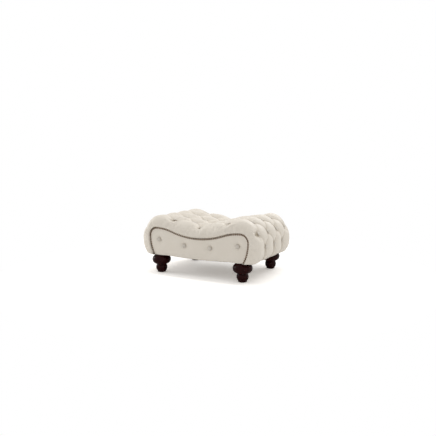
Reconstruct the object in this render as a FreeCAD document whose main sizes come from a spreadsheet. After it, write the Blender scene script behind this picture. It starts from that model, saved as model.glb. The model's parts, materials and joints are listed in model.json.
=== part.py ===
"""Deep-buttoned saddle footstool with a roll at each end and four turned feet.

Frame: +Z up, X across the width, the front panel faces -Y, millimetres.
The origin is on the floor, midway between the four feet.
"""
import FreeCAD, Part
import Sketcher
import math
import os
import re
from types import SimpleNamespace

V = FreeCAD.Vector

# Driving dimensions in millimetres, and shares of them

SIZES = [
    ("body_half_width", 358, "middle of the stool to the outside of a roll"),
    ("body_top", 316, "floor to the crown of a roll"),
    ("base_level", 104, "floor to the underside of the wooden frame"),
    ("roll_radius", 120, "rounding of each end roll"),
    ("under_radius", 60, "rounding where the roll turns under"),
    ("seat_slope_share", 0.2, "rise of the seat for each unit outwards"),
    ("valley_fill", 8, "how much the middle puffs fill the valley"),
    ("panel_plane", 220, "middle of the stool to the face of a panel"),
    ("border_bulge", 11, "how far the border stands out past the panel"),
    ("border_side", 55, "border width beside the panel"),
    ("border_dip", 57.5, "border width above the middle of the panel"),
    ("border_crest_share", 0.83, "where the border is fullest, across its width"),
    ("roll_lip_share", 0.5, "how far the border's stuffing draws in towards its crest"),
    ("dip_rise", 25.8, "rise of the panel's top edge from its dip to its bend"),
    ("bend_share", 0.6, "where that bend is, out to the horn"),
    ("horn_radius", 48, "rounding of the panel's upper corners"),
    ("panel_side_inset", 26, "how far the panel narrows to its foot"),
    ("belly_drop", 8, "how far the panel's lower edge sags in the middle"),
    ("border_depth", 47.5, "face of a panel back to the outer column of buttons"),
    ("border_flat", 15, "outer column of buttons to where the border starts to turn down"),
    ("last_row_rise", 16.5, "where the roll turns under up to the last row of buttons"),
    ("tuft_depth", 16, "crown of a puff down to a button's seat"),
    ("pleat_depth", 11, "crown of a puff down to the middle of a pleat"),
    ("tuft_floor", 8, "half of the flat under a button"),
    ("floor_crown", 0.6, "rise of that flat"),
    ("shoulder_share", 0.25, "drop of a puff's shoulder from its crown, towards the pleat"),
    ("leather_thick", 1.4, "hide"),
    ("soft_gap", 0.3, "room left beside a soft piece"),
    ("foam_thick", 45, "foam over the deck"),
    ("turn_in", 28, "hide turned under the frame"),
    ("deck_thick", 6, "bendy plywood of the deck"),
    ("board_thick", 12, "plywood of the front and back frame boards"),
    ("facing_thick", 4, "plywood of the facing boards"),
    ("pad_thick", 5, "foam on the facing boards"),
    ("waist_rise", 12, "underside of the frame up to where its boards widen"),
    ("roll_panel_rise", 28, "underside of the frame up to the lower end of a roll panel"),
    ("rail_setback", 75, "outside of a roll in to the outside of an end rail"),
    ("rail_thick", 20, "end rail and roll rail across"),
    ("rail_height", 45, "end rail from bottom to top"),
    ("roll_rail_height", 21, "roll rail from bottom to top"),
    ("batten_width", 20, "top batten across"),
    ("batten_height", 36, "top batten from bottom to top"),
    ("stretcher_gap", 24, "room between the two stretchers"),
    ("stretcher_width", 24, "stretcher across"),
    ("stretcher_height", 55, "stretcher from bottom to top"),
    ("block_length", 60, "corner block along each side"),
    ("block_height", 36, "corner block from bottom to top"),
    ("foot_setback", 33, "outside of an end rail in to the axis of a foot"),
    ("foot_inset", 36, "face of a panel in to the axis of a foot"),
    ("dust_thick", 0.8, "cambric under the frame"),
    ("dust_inset", 12, "cambric in from the outside of the frame"),
    ("glide_radius", 17, "nylon glide under a foot"),
    ("glide_height", 2.5, "nylon glide"),
    ("toe_radius", 23.5, "foot where it meets the glide"),
    ("toe_height", 8, "floor to the top of the straight toe"),
    ("bulb_radius", 30.5, "lower bulb of the foot"),
    ("bulb_height", 21, "floor to the middle of the bulb"),
    ("neck_radius", 27, "neck between the bulb and the bun"),
    ("neck_low", 43.5, "floor to the lower end of the neck"),
    ("neck_length", 3, "straight part of the neck"),
    ("bun_radius", 51.5, "bun of the foot at its fullest"),
    ("bun_height", 72, "floor to the fullest part of the bun"),
    ("collar_radius", 37, "collar on top of the bun"),
    ("collar_height", 4.9, "collar on top of the bun"),
    ("bolt_radius", 4, "hanger bolt"),
    ("bolt_in_foot", 42, "hanger bolt screwed into the foot"),
    ("bolt_over_nut", 3, "hanger bolt standing past the tee nut"),
    ("bolt_room", 0.2, "room around the hanger bolt"),
    ("nut_barrel_radius", 5.4, "barrel of the tee nut"),
    ("nut_barrel_length", 11, "barrel of the tee nut"),
    ("nut_flange_radius", 9.5, "flange of the tee nut"),
    ("nut_flange_thick", 1.6, "flange of the tee nut"),
    ("button_radius", 11.5, "leather-covered button"),
    ("button_edge", 7, "seat of a button up to its rim"),
    ("button_height", 10.5, "seat of a button up to its crown"),
    ("button_seat_radius", 1.5, "flat under a button"),
    ("twine_radius", 1.2, "waxed button twine"),
    ("twine_room", 0.4, "room around the twine"),
    ("twine_tail", 3, "twine past the washer"),
    ("washer_radius", 9, "washer that the twine is tied over"),
    ("washer_thick", 2, "washer that the twine is tied over"),
    ("panel_button_inset", 119, "outer panel button, in from the outside of a roll"),
    ("panel_button_out_drop", 127.5, "outer panel button, down from the crown of a roll"),
    ("panel_button_in_share", 0.33, "inner panel button, on the way out to the outer one"),
    ("panel_button_in_drop", 150.5, "inner panel button, down from the crown of a roll"),
    ("dimple_radius", 22, "hollow in the panel around a button"),
    ("dimple_depth", 3, "hollow in the panel around a button"),
    ("nail_radius", 4.7, "head of an antique upholstery nail"),
    ("nail_height", 2.4, "head of an antique upholstery nail"),
    ("nail_rim", 0.5, "seat of a nail up to its rim"),
    ("nail_pitch", 11, "spacing of the nails"),
    ("nail_inset", 6.4, "nails in from the edge of the panel"),
    ("nail_pin_radius", 0.8, "pin of a nail"),
    ("nail_pin_length", 10, "pin of a nail"),
    ("nail_room", 0.2, "room around a nail's pin"),
    ("screw_radius", 2, "frame screw"),
    ("screw_length", 40, "frame screw"),
    ("screw_head_radius", 4, "countersunk head"),
    ("screw_head_depth", 2.6, "countersunk head"),
    ("screw_room", 0.1, "room around a screw"),
    ("screw_edge_share", 0.28, "screws in from the ends of a member's height"),
    ("overrun", 5, "how far a cutting tool runs past what it cuts"),
]

ALIASES = {alias for alias, _, _ in SIZES}
SIDES = (("left", -1), ("right", 1))
ENDS = (("front", -1), ("back", 1))
ROW_SHARES = (0, 0.17, 0.375, 0.625, 0.815, 1)  # of the way from the middle row out to the last
LAST_ROW = len(ROW_SHARES) - 1
SEAT_ROWS = 2  # of those, the rows that lie on the seat
OUTER_COLUMN = 3  # half pitches from the middle to the outer column
BORDER_FADE = 3  # power with which the pleats fade over the border
ARCS_TO_A_PUFF = 4  # stations along a puff: shoulder, crown, shoulder, pleat
BOARD_SECTION = 4  # section of the hide that is level with the face of a frame board
ROLL_SECTIONS = 3  # sections of an edge roll


def make_sheet(doc):
    """The spreadsheet that holds every driving dimension under its own alias."""
    sheet = doc.addObject("Spreadsheet::Sheet", "Sizes")
    for row, (alias, value, note) in enumerate(SIZES, start=1):
        sheet.set(f"A{row}", alias)
        sheet.set(f"B{row}", str(value))
        sheet.set(f"C{row}", note)
        sheet.setAlias(f"B{row}", alias)
    doc.recompute()
    return sheet


def read_sizes(sheet):
    """The sheet's values by alias, for the shapes that Part's functions make."""
    return SimpleNamespace(**{alias: float(sheet.get(alias)) for alias, _, _ in SIZES})


def formula(text):
    """An expression with each alias pointed at the sheet."""
    return re.sub(r"[a-z_]+", lambda word: "Sizes." * (word.group() in ALIASES) + word.group(), text)


def bound(doc, kind, name, **expressions):
    """A primitive whose properties are bound to the sheet."""
    piece = doc.addObject(kind, name)
    for prop, text in expressions.items():
        piece.setExpression(prop, formula(text))
    return piece


def place(piece, x="0", y="0", z="0"):
    """Bind a piece's position to the sheet."""
    for axis, text in zip("xyz", (x, y, z)):
        piece.setExpression(f"Placement.Base.{axis}", formula(text))
    return piece


def feature(doc, name, shape):
    """A sub-part whose shape comes from Part's own functions."""
    piece = doc.addObject("Part::Feature", name)
    piece.Shape = shape
    piece.Placement = FreeCAD.Placement()
    return piece


def cut(doc, name, base, tool):
    """One object with another taken away."""
    piece = doc.addObject("Part::Cut", name)
    piece.Base = base
    piece.Tool = tool
    return piece


def group(doc, name, pieces):
    """Like pieces in one node, as separate solids."""
    compound = doc.addObject("Part::Compound", name)
    compound.Links = pieces
    return compound


def mirrored(shape, axis):
    """A copy on the other side of the stool."""
    return shape.mirror(V(), axis)


# Outlines in the XZ plane, as paths of tangent lines and arcs

class Outline:
    """Right half of an outline, from its middle at the top to its lower end."""

    def __init__(self, x, z, heading=0.0):
        self.point = (x, z)
        self.heading = heading
        self.pieces = []
        self.length = 0.0

    def forward(self, length):
        """Go straight on."""
        self._add(length, 0.0)

    def bend(self, radius, turn):
        """Follow an arc; a positive turn is to the left, seen from the front."""
        self._add(radius * abs(turn), math.copysign(1 / radius, turn))

    def _add(self, length, curve):
        self.pieces.append((self.length, self.point, self.heading, length, curve))
        self.point, self.heading = self._along(self.point, self.heading, length, curve)
        self.length += length

    @staticmethod
    def _along(point, heading, run, curve):
        if curve == 0:
            return (point[0] + run * math.cos(heading), point[1] + run * math.sin(heading)), heading
        turned = heading + run * curve
        x = point[0] + (math.sin(turned) - math.sin(heading)) / curve
        z = point[1] - (math.cos(turned) - math.cos(heading)) / curve
        return (x, z), turned

    def at(self, run, depth=0.0):
        """The point at a run along the outline, moved inwards by a depth."""
        side = -1 if run < 0 else 1
        run = min(abs(run), self.length)
        start, point, heading, _, curve = [piece for piece in self.pieces if piece[0] <= run][-1]
        (x, z), heading = self._along(point, heading, run - start, curve)
        if run == 0:
            return 0.0, z - depth / math.cos(heading)
        return side * (x + depth * math.sin(heading)), z - depth * math.cos(heading)

    def normal(self, run):
        """Outward direction at a run along the outline."""
        low = self.at(run)
        high = self.at(run, -1)
        return V(high[0] - low[0], 0, high[1] - low[1]).normalize()

    def edges(self, depth, y):
        """The whole outline at a depth, left end to right end, as lines and arcs."""
        right = []
        for start, _, _, length, curve in self.pieces:
            ends = [self.at(start, depth), self.at(start + length / 2, depth), self.at(start + length, depth)]
            right.append([V(x, y, z) for x, z in ends] + [curve])
        left = [[V(-p.x, y, p.z) for p in piece[2::-1]] + [piece[3]] for piece in reversed(right)]
        return [Part.Arc(*p[:3]).toShape() if p[3] else Part.makeLine(p[0], p[2]) for p in left + right]


def cover_bottom(s):
    """Lower face of the hide that is turned under the frame."""
    return s.base_level - s.soft_gap - s.leather_thick


def board_face(s):
    """Outside of the frame boards, from the middle of the stool."""
    return s.panel_plane - s.leather_thick - s.pad_thick - s.facing_thick - 2 * s.soft_gap


def rail_face(s):
    """Outside of an end rail, from the middle of the stool."""
    return s.body_half_width - s.rail_setback


def body_outline(s, depth=0.0):
    """A sloping seat and a roll, at a depth below the crown line."""
    slope = math.atan(s.seat_slope_share)
    radius = s.roll_radius - depth
    run = (s.body_half_width - s.roll_radius - radius * math.sin(slope)) / math.cos(slope)
    top = s.body_top - s.roll_radius + radius * math.cos(slope) - run * math.sin(slope)
    outline = Outline(0, top, slope)
    outline.forward(run)
    outline.bend(radius, -slope - math.pi / 2)
    return outline


def cover_outline(s):
    """The crown line down to where the hide turns under the frame."""
    outline = body_outline(s)
    outline.forward(s.body_top - s.roll_radius - s.under_radius - cover_bottom(s))
    outline.bend(s.under_radius, -math.pi / 2)
    return outline


def row_runs(s):
    """Runs of the rows along the crown line, from the middle one out."""
    last = cover_outline(s).pieces[-1][0] - s.last_row_rise
    return [last * share for share in ROW_SHARES]


def border_start(s):
    """Distance from the middle of the stool to the outer column of buttons."""
    return s.panel_plane - s.border_depth


def panel_outline(s):
    """Edge of a panel: a dip, a bend, a rounded horn and a drawn-in side."""
    dip = body_outline(s).at(0)[1] - s.border_dip
    horn = s.body_half_width - s.border_side - s.horn_radius
    bend = horn * s.bend_share
    turn = 2 * math.atan(s.dip_rise / bend)
    outline = Outline(0, dip)
    outline.bend((bend ** 2 + s.dip_rise ** 2) / (2 * s.dip_rise), turn)
    outline.bend((horn - bend) / math.sin(turn), -turn)
    outline.bend(s.horn_radius, -math.pi / 2)
    drop = outline.point[1] - cover_bottom(s)
    side = (drop ** 2 + s.panel_side_inset ** 2) / (2 * s.panel_side_inset)
    outline.bend(side, -math.asin(drop / side))
    return outline


def chain(points):
    """Arcs through triples of points: end, middle, end, middle, end."""
    return [Part.Arc(*points[i:i + 3]).toShape() for i in range(0, len(points) - 2, 2)]


def path(points):
    """Straight edges from point to point."""
    return [Part.makeLine(a, b) for a, b in zip(points, points[1:])]


def prism(edges, length):
    """A solid from closed edges, pushed along Y."""
    return Part.Face(Part.Wire(edges)).extrude(V(0, length, 0))


def slab(points, half_length):
    """A solid from the corners (x, z) of its section, centred from front to back."""
    corners = [V(x, -half_length, z) for x, z in points]
    return prism(path(corners + corners[:1]), 2 * half_length)


# Buttons: rows along the crown line, columns from front to back

def button_places(s):
    """Row and place from front to back of every button."""
    half_pitch = border_start(s) / OUTER_COLUMN
    places = []
    for row in range(-LAST_ROW, LAST_ROW + 1):
        first = OUTER_COLUMN - row % 2
        places += [(row, column * half_pitch) for column in range(-first, first + 1, 2)]
    return places


def panel_button_places(s):
    """Place across and height of the four buttons on a panel."""
    out = s.body_half_width - s.panel_button_inset
    right = [(out * s.panel_button_in_share, s.body_top - s.panel_button_in_drop)]
    right.append((out, s.body_top - s.panel_button_out_drop))
    return [(-x, z) for x, z in right] + right


def button_frames(s):
    """Seat, far side of the wood and outward direction of every button, by its node."""
    outline = cover_outline(s)
    runs = row_runs(s)
    frames = {"seat_buttons": [], "left_roll_buttons": [], "right_roll_buttons": []}
    for row, y in button_places(s):
        run = math.copysign(runs[abs(row)], row)
        x, z = outline.at(run, s.tuft_depth - s.floor_crown - 3 * s.soft_gap)
        far_x, far_z = outline.at(run, s.foam_thick + s.deck_thick)
        side = "left" if row < 0 else "right"
        node = "seat_buttons" if abs(row) <= SEAT_ROWS else f"{side}_roll_buttons"
        frames[node].append((V(x, y, z), V(far_x, y, far_z), outline.normal(run)))
    for end, sign in ENDS:
        seat = sign * (s.panel_plane - s.dimple_depth + s.soft_gap)
        far = sign * (board_face(s) - s.board_thick)
        frames[f"{end}_panel_buttons"] = [(V(x, seat, z), V(x, far, z), V(0, sign, 0))
                                          for x, z in panel_button_places(s)]
    return frames


def domed(flat, edge, rim, crown, seat, outward):
    """A turned solid with a flat seat, a flared underside and a domed top."""
    shoulder = V(rim * math.cos(math.pi / 4), 0, edge + (crown - edge) * math.sin(math.pi / 4))
    points = [V(rim, 0, edge), V(flat, 0, 0), V(), V(0, 0, crown)]
    edges = path(points) + [Part.Arc(V(0, 0, crown), shoulder, V(rim, 0, edge)).toShape()]
    shape = Part.Face(Part.Wire(edges)).revolve(V(), V(0, 0, 1), 360)
    shape.Placement = FreeCAD.Placement(seat, FreeCAD.Rotation(V(0, 0, 1), outward))
    return shape


def button(s, seat, outward):
    """A leather-covered button."""
    return domed(s.button_seat_radius, s.button_edge, s.button_radius, s.button_height, seat, outward)


def rod(radius, low, high):
    """A cylinder between two points."""
    return Part.makeCylinder(radius, low.distanceToPoint(high), low, high - low)


def all_places(frames):
    """Every button's places, whichever node holds it."""
    return [place for places in frames.values() for place in places]


def twine_holes(s, frames):
    """Cutting tools for the twine of every button."""
    radius = s.twine_radius + s.twine_room
    return Part.makeCompound([rod(radius, far - outward * s.overrun, seat + outward * s.overrun)
                              for seat, far, outward in all_places(frames)])


def button_twines(s, frames):
    """A twine from each button through foam and deck to past its washer."""
    tail = s.soft_gap + s.washer_thick + s.twine_tail
    return Part.makeCompound([rod(s.twine_radius, far - outward * tail, seat)
                              for seat, far, outward in all_places(frames)])


def twine_washers(s, frames):
    """The washer that each twine is tied over."""
    inner_radius = s.roll_radius - s.foam_thick - s.deck_thick
    washers = []
    for _, far, outward in all_places(frames):
        top = far - outward * (s.soft_gap + s.washer_radius ** 2 / (2 * inner_radius))
        low = top - outward * s.washer_thick
        bore = rod(s.twine_radius + s.twine_room, low - outward * s.overrun, far)
        washers.append(rod(s.washer_radius, low, top).cut(bore))
    return Part.makeCompound(washers)


# Tufted hide and the foam below it

def puff(fullness):
    """Height of a puff, from 0 at a button to 1 in the middle of a diamond."""
    return math.sin(fullness * math.pi / 2)


def stations(s, share, end):
    """Runs and depths along half of the crown line, four to a puff, from the middle's crown.

    The share is 0 on a column with three buttons and 1 on a column with four.
    """
    rows = row_runs(s)
    floor = s.tuft_depth - s.floor_crown
    pleat = s.tuft_depth - (s.tuft_depth - s.pleat_depth) * (1 - abs(2 * share - 1))
    folds = []
    for k, row in enumerate(rows[:-1]):
        near = row + s.tuft_floor
        far = rows[k + 1] - s.tuft_floor
        folds.append((near + (far - near) * (share if k % 2 else 1 - share), pleat))
    folds.insert(0, (-folds[0][0], pleat))
    folds += [(rows[-1] + s.tuft_floor, floor * (1 - puff(share)) + s.floor_crown), (end, 0.0)]
    places = []
    for k, ((low, low_depth), (high, high_depth)) in enumerate(zip(folds, folds[1:])):
        fullness = share if k % 2 or k > LAST_ROW else 1 - share
        crown = floor * (1 - puff(fullness))
        if k == 0:
            crown -= s.valley_fill * puff(fullness)
        rise = (high - low) / ARCS_TO_A_PUFF
        places.append((low + rise, crown + (low_depth - crown) * s.shoulder_share))
        places.append(((low + high) / 2, crown))
        places.append((high - rise, crown + (high_depth - crown) * s.shoulder_share))
        places.append((high, high_depth))
    return places[1:]


def both_halves(places, locate):
    """Points of a whole chain of stations, from lower left to lower right."""
    left = [locate(-run, depth) for run, depth in reversed(places[1:])]
    return left + [locate(run, depth) for run, depth in places]


def panel_points(s, inset, y):
    """The panel's edge, divided as the hide is beside it, from lower left to lower right."""
    body = cover_outline(s)
    panel = panel_outline(s)

    def locate(run, depth):
        x, z = panel.at(run / body.length * panel.length, inset)
        return V(x, y, max(z, cover_bottom(s) + inset))
    return both_halves(stations(s, 1, body.length), locate)


def border_angles(s):
    """Angles around the border's rounding; the second ends level with the frame boards."""
    inset = s.leather_thick + s.soft_gap
    bulge = s.border_depth + s.border_bulge - s.border_flat
    start = border_start(s) + s.border_flat
    split = math.asin((board_face(s) + s.soft_gap - start) / (bulge - inset))
    step = (math.pi / 2 - split) / ROLL_SECTIONS
    return [split / 2, split] + [split + step * (k + 1) for k in range(ROLL_SECTIONS)]


def surface_sections(s, inset):
    """Points of the hide's surface, moved inwards, section by section from the front."""
    body = cover_outline(s)
    panel = panel_outline(s)
    column = border_start(s)
    start = column + s.border_flat
    bulge = s.border_depth + s.border_bulge - s.border_flat

    def along_body(y):
        def locate(run, depth):
            x, z = body.at(run, depth + inset)
            return V(x, y, z)
        return locate

    def along_border(sign, angle):
        across = s.border_crest_share * (1 - math.cos(angle))
        y = sign * (start + (bulge - inset) * math.sin(angle))

        def locate(run, depth):
            body_x, body_z = body.at(run, depth * (1 - across) ** BORDER_FADE + inset)
            panel_x, panel_z = panel.at(run / body.length * panel.length)
            x = body_x + (panel_x - body_x) * across
            z = body_z + (panel_z - body_z) * across
            return V(x, y, max(z, cover_bottom(s) + inset))
        return locate

    full = stations(s, 1, body.length)
    rows = [panel_points(s, inset, -s.panel_plane)]
    rows += [both_halves(full, along_border(-1, angle)) for angle in reversed(border_angles(s))]
    for k in range(-2 * OUTER_COLUMN, 2 * OUTER_COLUMN + 1):
        share = 1 - abs(abs(k) % 4 - 2) / 2
        y = column * k / (2 * OUTER_COLUMN)
        rows.append(both_halves(stations(s, share, body.length), along_body(y)))
    rows += [both_halves(full, along_border(1, angle)) for angle in border_angles(s)]
    return rows + [panel_points(s, inset, s.panel_plane)]


def tufted_cover(s):
    """The hide: one band per section, open at both panels and under the frame."""
    turned_x = rail_face(s) - s.turn_in
    wires = []
    for outer, inner in zip(surface_sections(s, 0), surface_sections(s, s.leather_thick)):
        right = [outer[-1], V(turned_x, outer[-1].y, outer[-1].z)]
        right += [V(turned_x, inner[-1].y, inner[-1].z), inner[-1]]
        left = [V(-p.x, p.y, p.z) for p in reversed(right)]
        wires.append(Part.Wire(chain(outer) + path(right) + chain(inner[::-1]) + path(left)))
    return Part.makeLoft(wires, True, True)


def frame_edges(s, depth, room, y):
    """The frame's outline at a depth, with room around its foot, left end to right end."""
    edges = body_outline(s, depth).edges(0, y)
    side = s.body_half_width - depth
    foot = rail_face(s) + room
    down = [(side, s.body_top - s.roll_radius), (side, s.base_level + s.roll_panel_rise - room)]
    down += [(foot, s.base_level + s.waist_rise - room), (foot, s.base_level)]
    right = [V(x, y, z) for x, z in down]
    left = [V(-x, y, z) for x, z in reversed(down)]
    return path(left) + edges + path(right), left[0], right[-1]


def seat_foam(s):
    """Foam over the deck, puffed below the hide, between the faces of the frame boards."""
    sections = surface_sections(s, s.leather_thick + s.soft_gap)[BOARD_SECTION:-BOARD_SECTION]
    wires = []
    for outer in sections:
        inner, left, right = frame_edges(s, s.foam_thick - s.soft_gap, s.soft_gap, outer[0].y)
        back = [edge.copy() for edge in reversed(inner)]
        edges = chain(outer) + path([outer[-1], right]) + back + path([left, outer[0]])
        wires.append(Part.Wire(edges))
    return Part.makeLoft(wires, True, True)


def edge_roll(s):
    """Stuffing of the front border, from the frame board's face to the crest."""
    sections = surface_sections(s, s.leather_thick + s.soft_gap)[:BOARD_SECTION + 1][-ROLL_SECTIONS:]
    crest, base = sections[0][0].y, sections[-1][0].y
    wires = []
    for outer in sections:
        y = outer[0].y
        drawn = s.roll_lip_share * (y - base) / (crest - base)
        wall = [V(p.x, y, max(p.z, outer[-1].z)) for p in panel_points(s, 0, y)]
        inner = [point + (edge - point) * drawn for point, edge in zip(wall, outer)]
        edges = chain(outer) + path([outer[-1], inner[-1]]) + chain(inner[::-1]) + path([inner[0], outer[0]])
        wires.append(Part.Wire(edges))
    return Part.makeLoft(wires, True, True)


# Facings: board, pad and hide of the front panel

def panel_prism(s, inset, face, back):
    """A slab with the panel's outline, between two distances from the middle."""
    points = panel_points(s, inset, -face)
    low = points[-1].z
    right = [points[-1], V(rail_face(s) - s.foot_setback - s.bun_radius, -face, low)]
    left = [V(-p.x, p.y, p.z) for p in reversed(right)]
    belly = Part.Arc(right[-1], V(0, -face, low - s.belly_drop), left[0]).toShape()
    sides = path(right) + [belly] + path(left)
    return prism(chain(points) + sides, face - back)


def dimple_cups(s, deeper):
    """Cones that the panel's hollows are cut with, lowered by the hide's thickness."""
    cones = []
    for x, z in panel_button_places(s):
        mouth = V(x, -s.panel_plane + deeper, z)
        cones.append(Part.makeCone(s.dimple_radius, s.button_seat_radius + s.twine_radius,
                                   s.dimple_depth, mouth, V(0, 1, 0)))
    return Part.makeCompound(cones)


def nail_places(s):
    """Centres of the nails along the panel's edge."""
    outline = panel_outline(s)
    last = outline.length - s.nail_radius
    count = int(last / s.nail_pitch)
    runs = [last * k / count for k in range(-count, count + 1)]
    return [outline.at(run, s.nail_inset) for run in runs]


def nail_holes(s):
    """Cutting tools for the pins of the front nails."""
    radius = s.nail_pin_radius + s.nail_room
    length = s.nail_pin_length + s.nail_room + s.overrun
    start = -s.panel_plane - s.overrun
    return Part.makeCompound([Part.makeCylinder(radius, length, V(x, start, z), V(0, 1, 0))
                              for x, z in nail_places(s)])


def nail_trim(s):
    """Domed nails along the front panel."""
    seat = -s.panel_plane - s.soft_gap
    nails = []
    for x, z in nail_places(s):
        head = domed(s.nail_pin_radius, s.nail_rim, s.nail_radius, s.nail_height, V(x, seat, z), V(0, -1, 0))
        pin = Part.makeCylinder(s.nail_pin_radius, s.nail_pin_length, V(x, seat, z), V(0, 1, 0))
        nails.append(head.fuse(pin))
    return Part.makeCompound(nails)


def facing_leather(s):
    """Hide of the front panel, hollowed at its buttons and turned back over the board."""
    inset = s.leather_thick + s.soft_gap
    back = board_face(s) + s.soft_gap
    outer = panel_prism(s, inset, s.panel_plane, back)
    inner = panel_prism(s, inset + s.leather_thick, s.panel_plane - s.leather_thick, back - s.overrun)
    lining = dimple_cups(s, s.leather_thick)
    cups = dimple_cups(s, 0)
    return outer.cut(inner.cut(lining)).cut(cups)


def facing_pad(s):
    """Foam of the front panel, hollowed below the hide."""
    inset = 2 * (s.leather_thick + s.soft_gap)
    face = s.panel_plane - s.leather_thick - s.soft_gap
    pad = panel_prism(s, inset, face, face - s.pad_thick)
    return pad.cut(dimple_cups(s, s.leather_thick + s.soft_gap))


def facing_board(s):
    """Plywood that carries the pad."""
    inset = 2 * (s.leather_thick + s.soft_gap)
    face = board_face(s) + s.facing_thick
    return panel_prism(s, inset, face, board_face(s))


# Frame: boards, deck, rails and their screws

def frame_board(s):
    """Front frame board with the saddle outline."""
    depth = s.foam_thick + s.deck_thick
    edges, left, right = frame_edges(s, depth, 0, -board_face(s))
    return prism(edges + path([right, left]), s.board_thick)


def seat_board(s):
    """Right half of the seat deck."""
    upper = body_outline(s, s.foam_thick)
    lower = body_outline(s, s.foam_thick + s.deck_thick)
    corners = [upper.at(0), upper.at(upper.pieces[1][0]), lower.at(lower.pieces[1][0]), lower.at(0)]
    return slab(corners, board_face(s))


def roll_panel(s):
    """Right roll's bent plywood, from the seat board over the roll and down its side."""
    half = board_face(s)
    faces = []
    for depth in (s.foam_thick, s.foam_thick + s.deck_thick):
        outline = body_outline(s, depth)
        outline.forward(s.body_top - s.roll_radius - s.base_level - s.roll_panel_rise)
        points = []
        for start, _, _, length, _ in outline.pieces[1:]:
            points.append([outline.at(start), outline.at(start + length / 2), outline.at(start + length)])
        faces.append([[V(x, -half, z) for x, z in piece] for piece in points])
    upper, lower = faces
    edges = [Part.Arc(*upper[0]).toShape(), Part.makeLine(upper[1][0], upper[1][2])]
    edges += [Part.makeLine(upper[1][2], lower[1][2]), Part.makeLine(lower[1][2], lower[1][0])]
    edges += [Part.Arc(*reversed(lower[0])).toShape(), Part.makeLine(lower[0][0], upper[0][0])]
    return prism(edges, 2 * half)


def under_seat(s, run_low, run_high, height):
    """A member that follows the underside of the seat between two runs."""
    deck = body_outline(s, s.foam_thick + s.deck_thick)
    (low_x, low_z), (high_x, high_z) = deck.at(run_low), deck.at(run_high)
    corners = [(low_x, low_z), (high_x, high_z), (high_x, high_z - height), (low_x, low_z - height)]
    return slab(corners, board_face(s) - s.board_thick), corners


def top_batten(s):
    """Right top batten, under the seam of seat board and roll panel."""
    seam = body_outline(s, s.foam_thick + s.deck_thick).pieces[1][0]
    return under_seat(s, seam - s.batten_width, seam, s.batten_height)


def stretcher(s):
    """Right stretcher, under the seat beside the valley."""
    slope = math.cos(math.atan(s.seat_slope_share))
    near = s.stretcher_gap / 2
    return under_seat(s, near / slope, (near + s.stretcher_width) / slope, s.stretcher_height)


def screw_places(s):
    """Centres of the screws in the ends of the right-hand members."""
    boxes = [
        (rail_face(s) - s.rail_thick / 2, s.base_level, s.rail_height),
        (side_face(s) - s.rail_thick / 2, s.base_level + s.roll_panel_rise, s.roll_rail_height),
    ]
    for _, corners in (top_batten(s), stretcher(s)):
        middle = (corners[2][0] + corners[3][0]) / 2
        low = max(corners[2][1], corners[3][1])
        boxes.append((middle, low, min(corners[0][1], corners[1][1]) - low))
    share = s.screw_edge_share
    return [(x, low + height * part) for x, low, height in boxes for part in (share, 1 - share)]


def side_face(s):
    """Inner face of a roll panel's straight side."""
    return s.body_half_width - s.foam_thick - s.deck_thick


def screws(s, room):
    """Every frame screw, or with room around it the tool for its hole."""
    solids = []
    for x, z in screw_places(s):
        for side_sign in (-1, 1):
            for sign in (-1, 1):
                head = V(side_sign * x, sign * board_face(s), z)
                inward = V(0, -sign, 0)
                shank = rod(s.screw_radius + room, head, head + inward * (s.screw_length + room))
                cone = Part.makeCone(s.screw_head_radius + room, s.screw_radius + room,
                                     s.screw_head_depth, head, inward)
                solids.append(shank.fuse(cone))
    return Part.makeCompound(solids)


# Turned feet, glides and what holds them

FOOT_TOP = "(base_level - leather_thick - dust_thick - 3 * soft_gap)"
BORE_LOW = FOOT_TOP + " - bolt_in_foot - bolt_room"
COLLAR_LOW = FOOT_TOP + " - collar_height"
NECK_HIGH = "neck_low + neck_length"
BORE = "bolt_radius + bolt_room"
RAIL_FACE = "(body_half_width - rail_setback)"
BOARD_INSIDE = "(panel_plane - leather_thick - pad_thick - facing_thick - 2 * soft_gap - board_thick)"
FOOT_CORNERS = [
    ("0", "glide_height"),
    ("toe_radius", "glide_height"),
    ("toe_radius", "toe_height"),
    ("neck_radius", "neck_low"),
    ("neck_radius", NECK_HIGH),
    ("collar_radius", COLLAR_LOW),
    ("collar_radius", FOOT_TOP),
    (BORE, FOOT_TOP),
    (BORE, BORE_LOW),
    ("0", BORE_LOW),
]
FOOT_SWELLS = {2: ("bulb_radius", "bulb_height"), 4: ("bun_radius", "bun_height")}


def foot_values(s):
    """The value of each text that the foot's section uses."""
    top = s.base_level - s.leather_thick - s.dust_thick - 3 * s.soft_gap
    known = dict(vars(s))
    known["0"] = 0.0
    known[FOOT_TOP] = top
    known[BORE] = s.bolt_radius + s.bolt_room
    known[BORE_LOW] = top - s.bolt_in_foot - s.bolt_room
    known[COLLAR_LOW] = top - s.collar_height
    known[NECK_HIGH] = s.neck_low + s.neck_length
    return known


def hold_point(sketch, item, vertex, texts):
    """Bind a sketch point's distances from the axes to the sheet."""
    point = sketch.getPoint(item, vertex)
    for kind, value, text in zip(("DistanceX", "DistanceY"), point, texts):
        if text == "0":
            axis = -2 if kind == "DistanceX" else -1
            sketch.addConstraint(Sketcher.Constraint("PointOnObject", item, vertex, axis))
        else:
            index = sketch.addConstraint(Sketcher.Constraint(kind, -1, 1, item, vertex, value))
            sketch.setExpression(f"Constraints[{index}]", formula(text))


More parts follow.
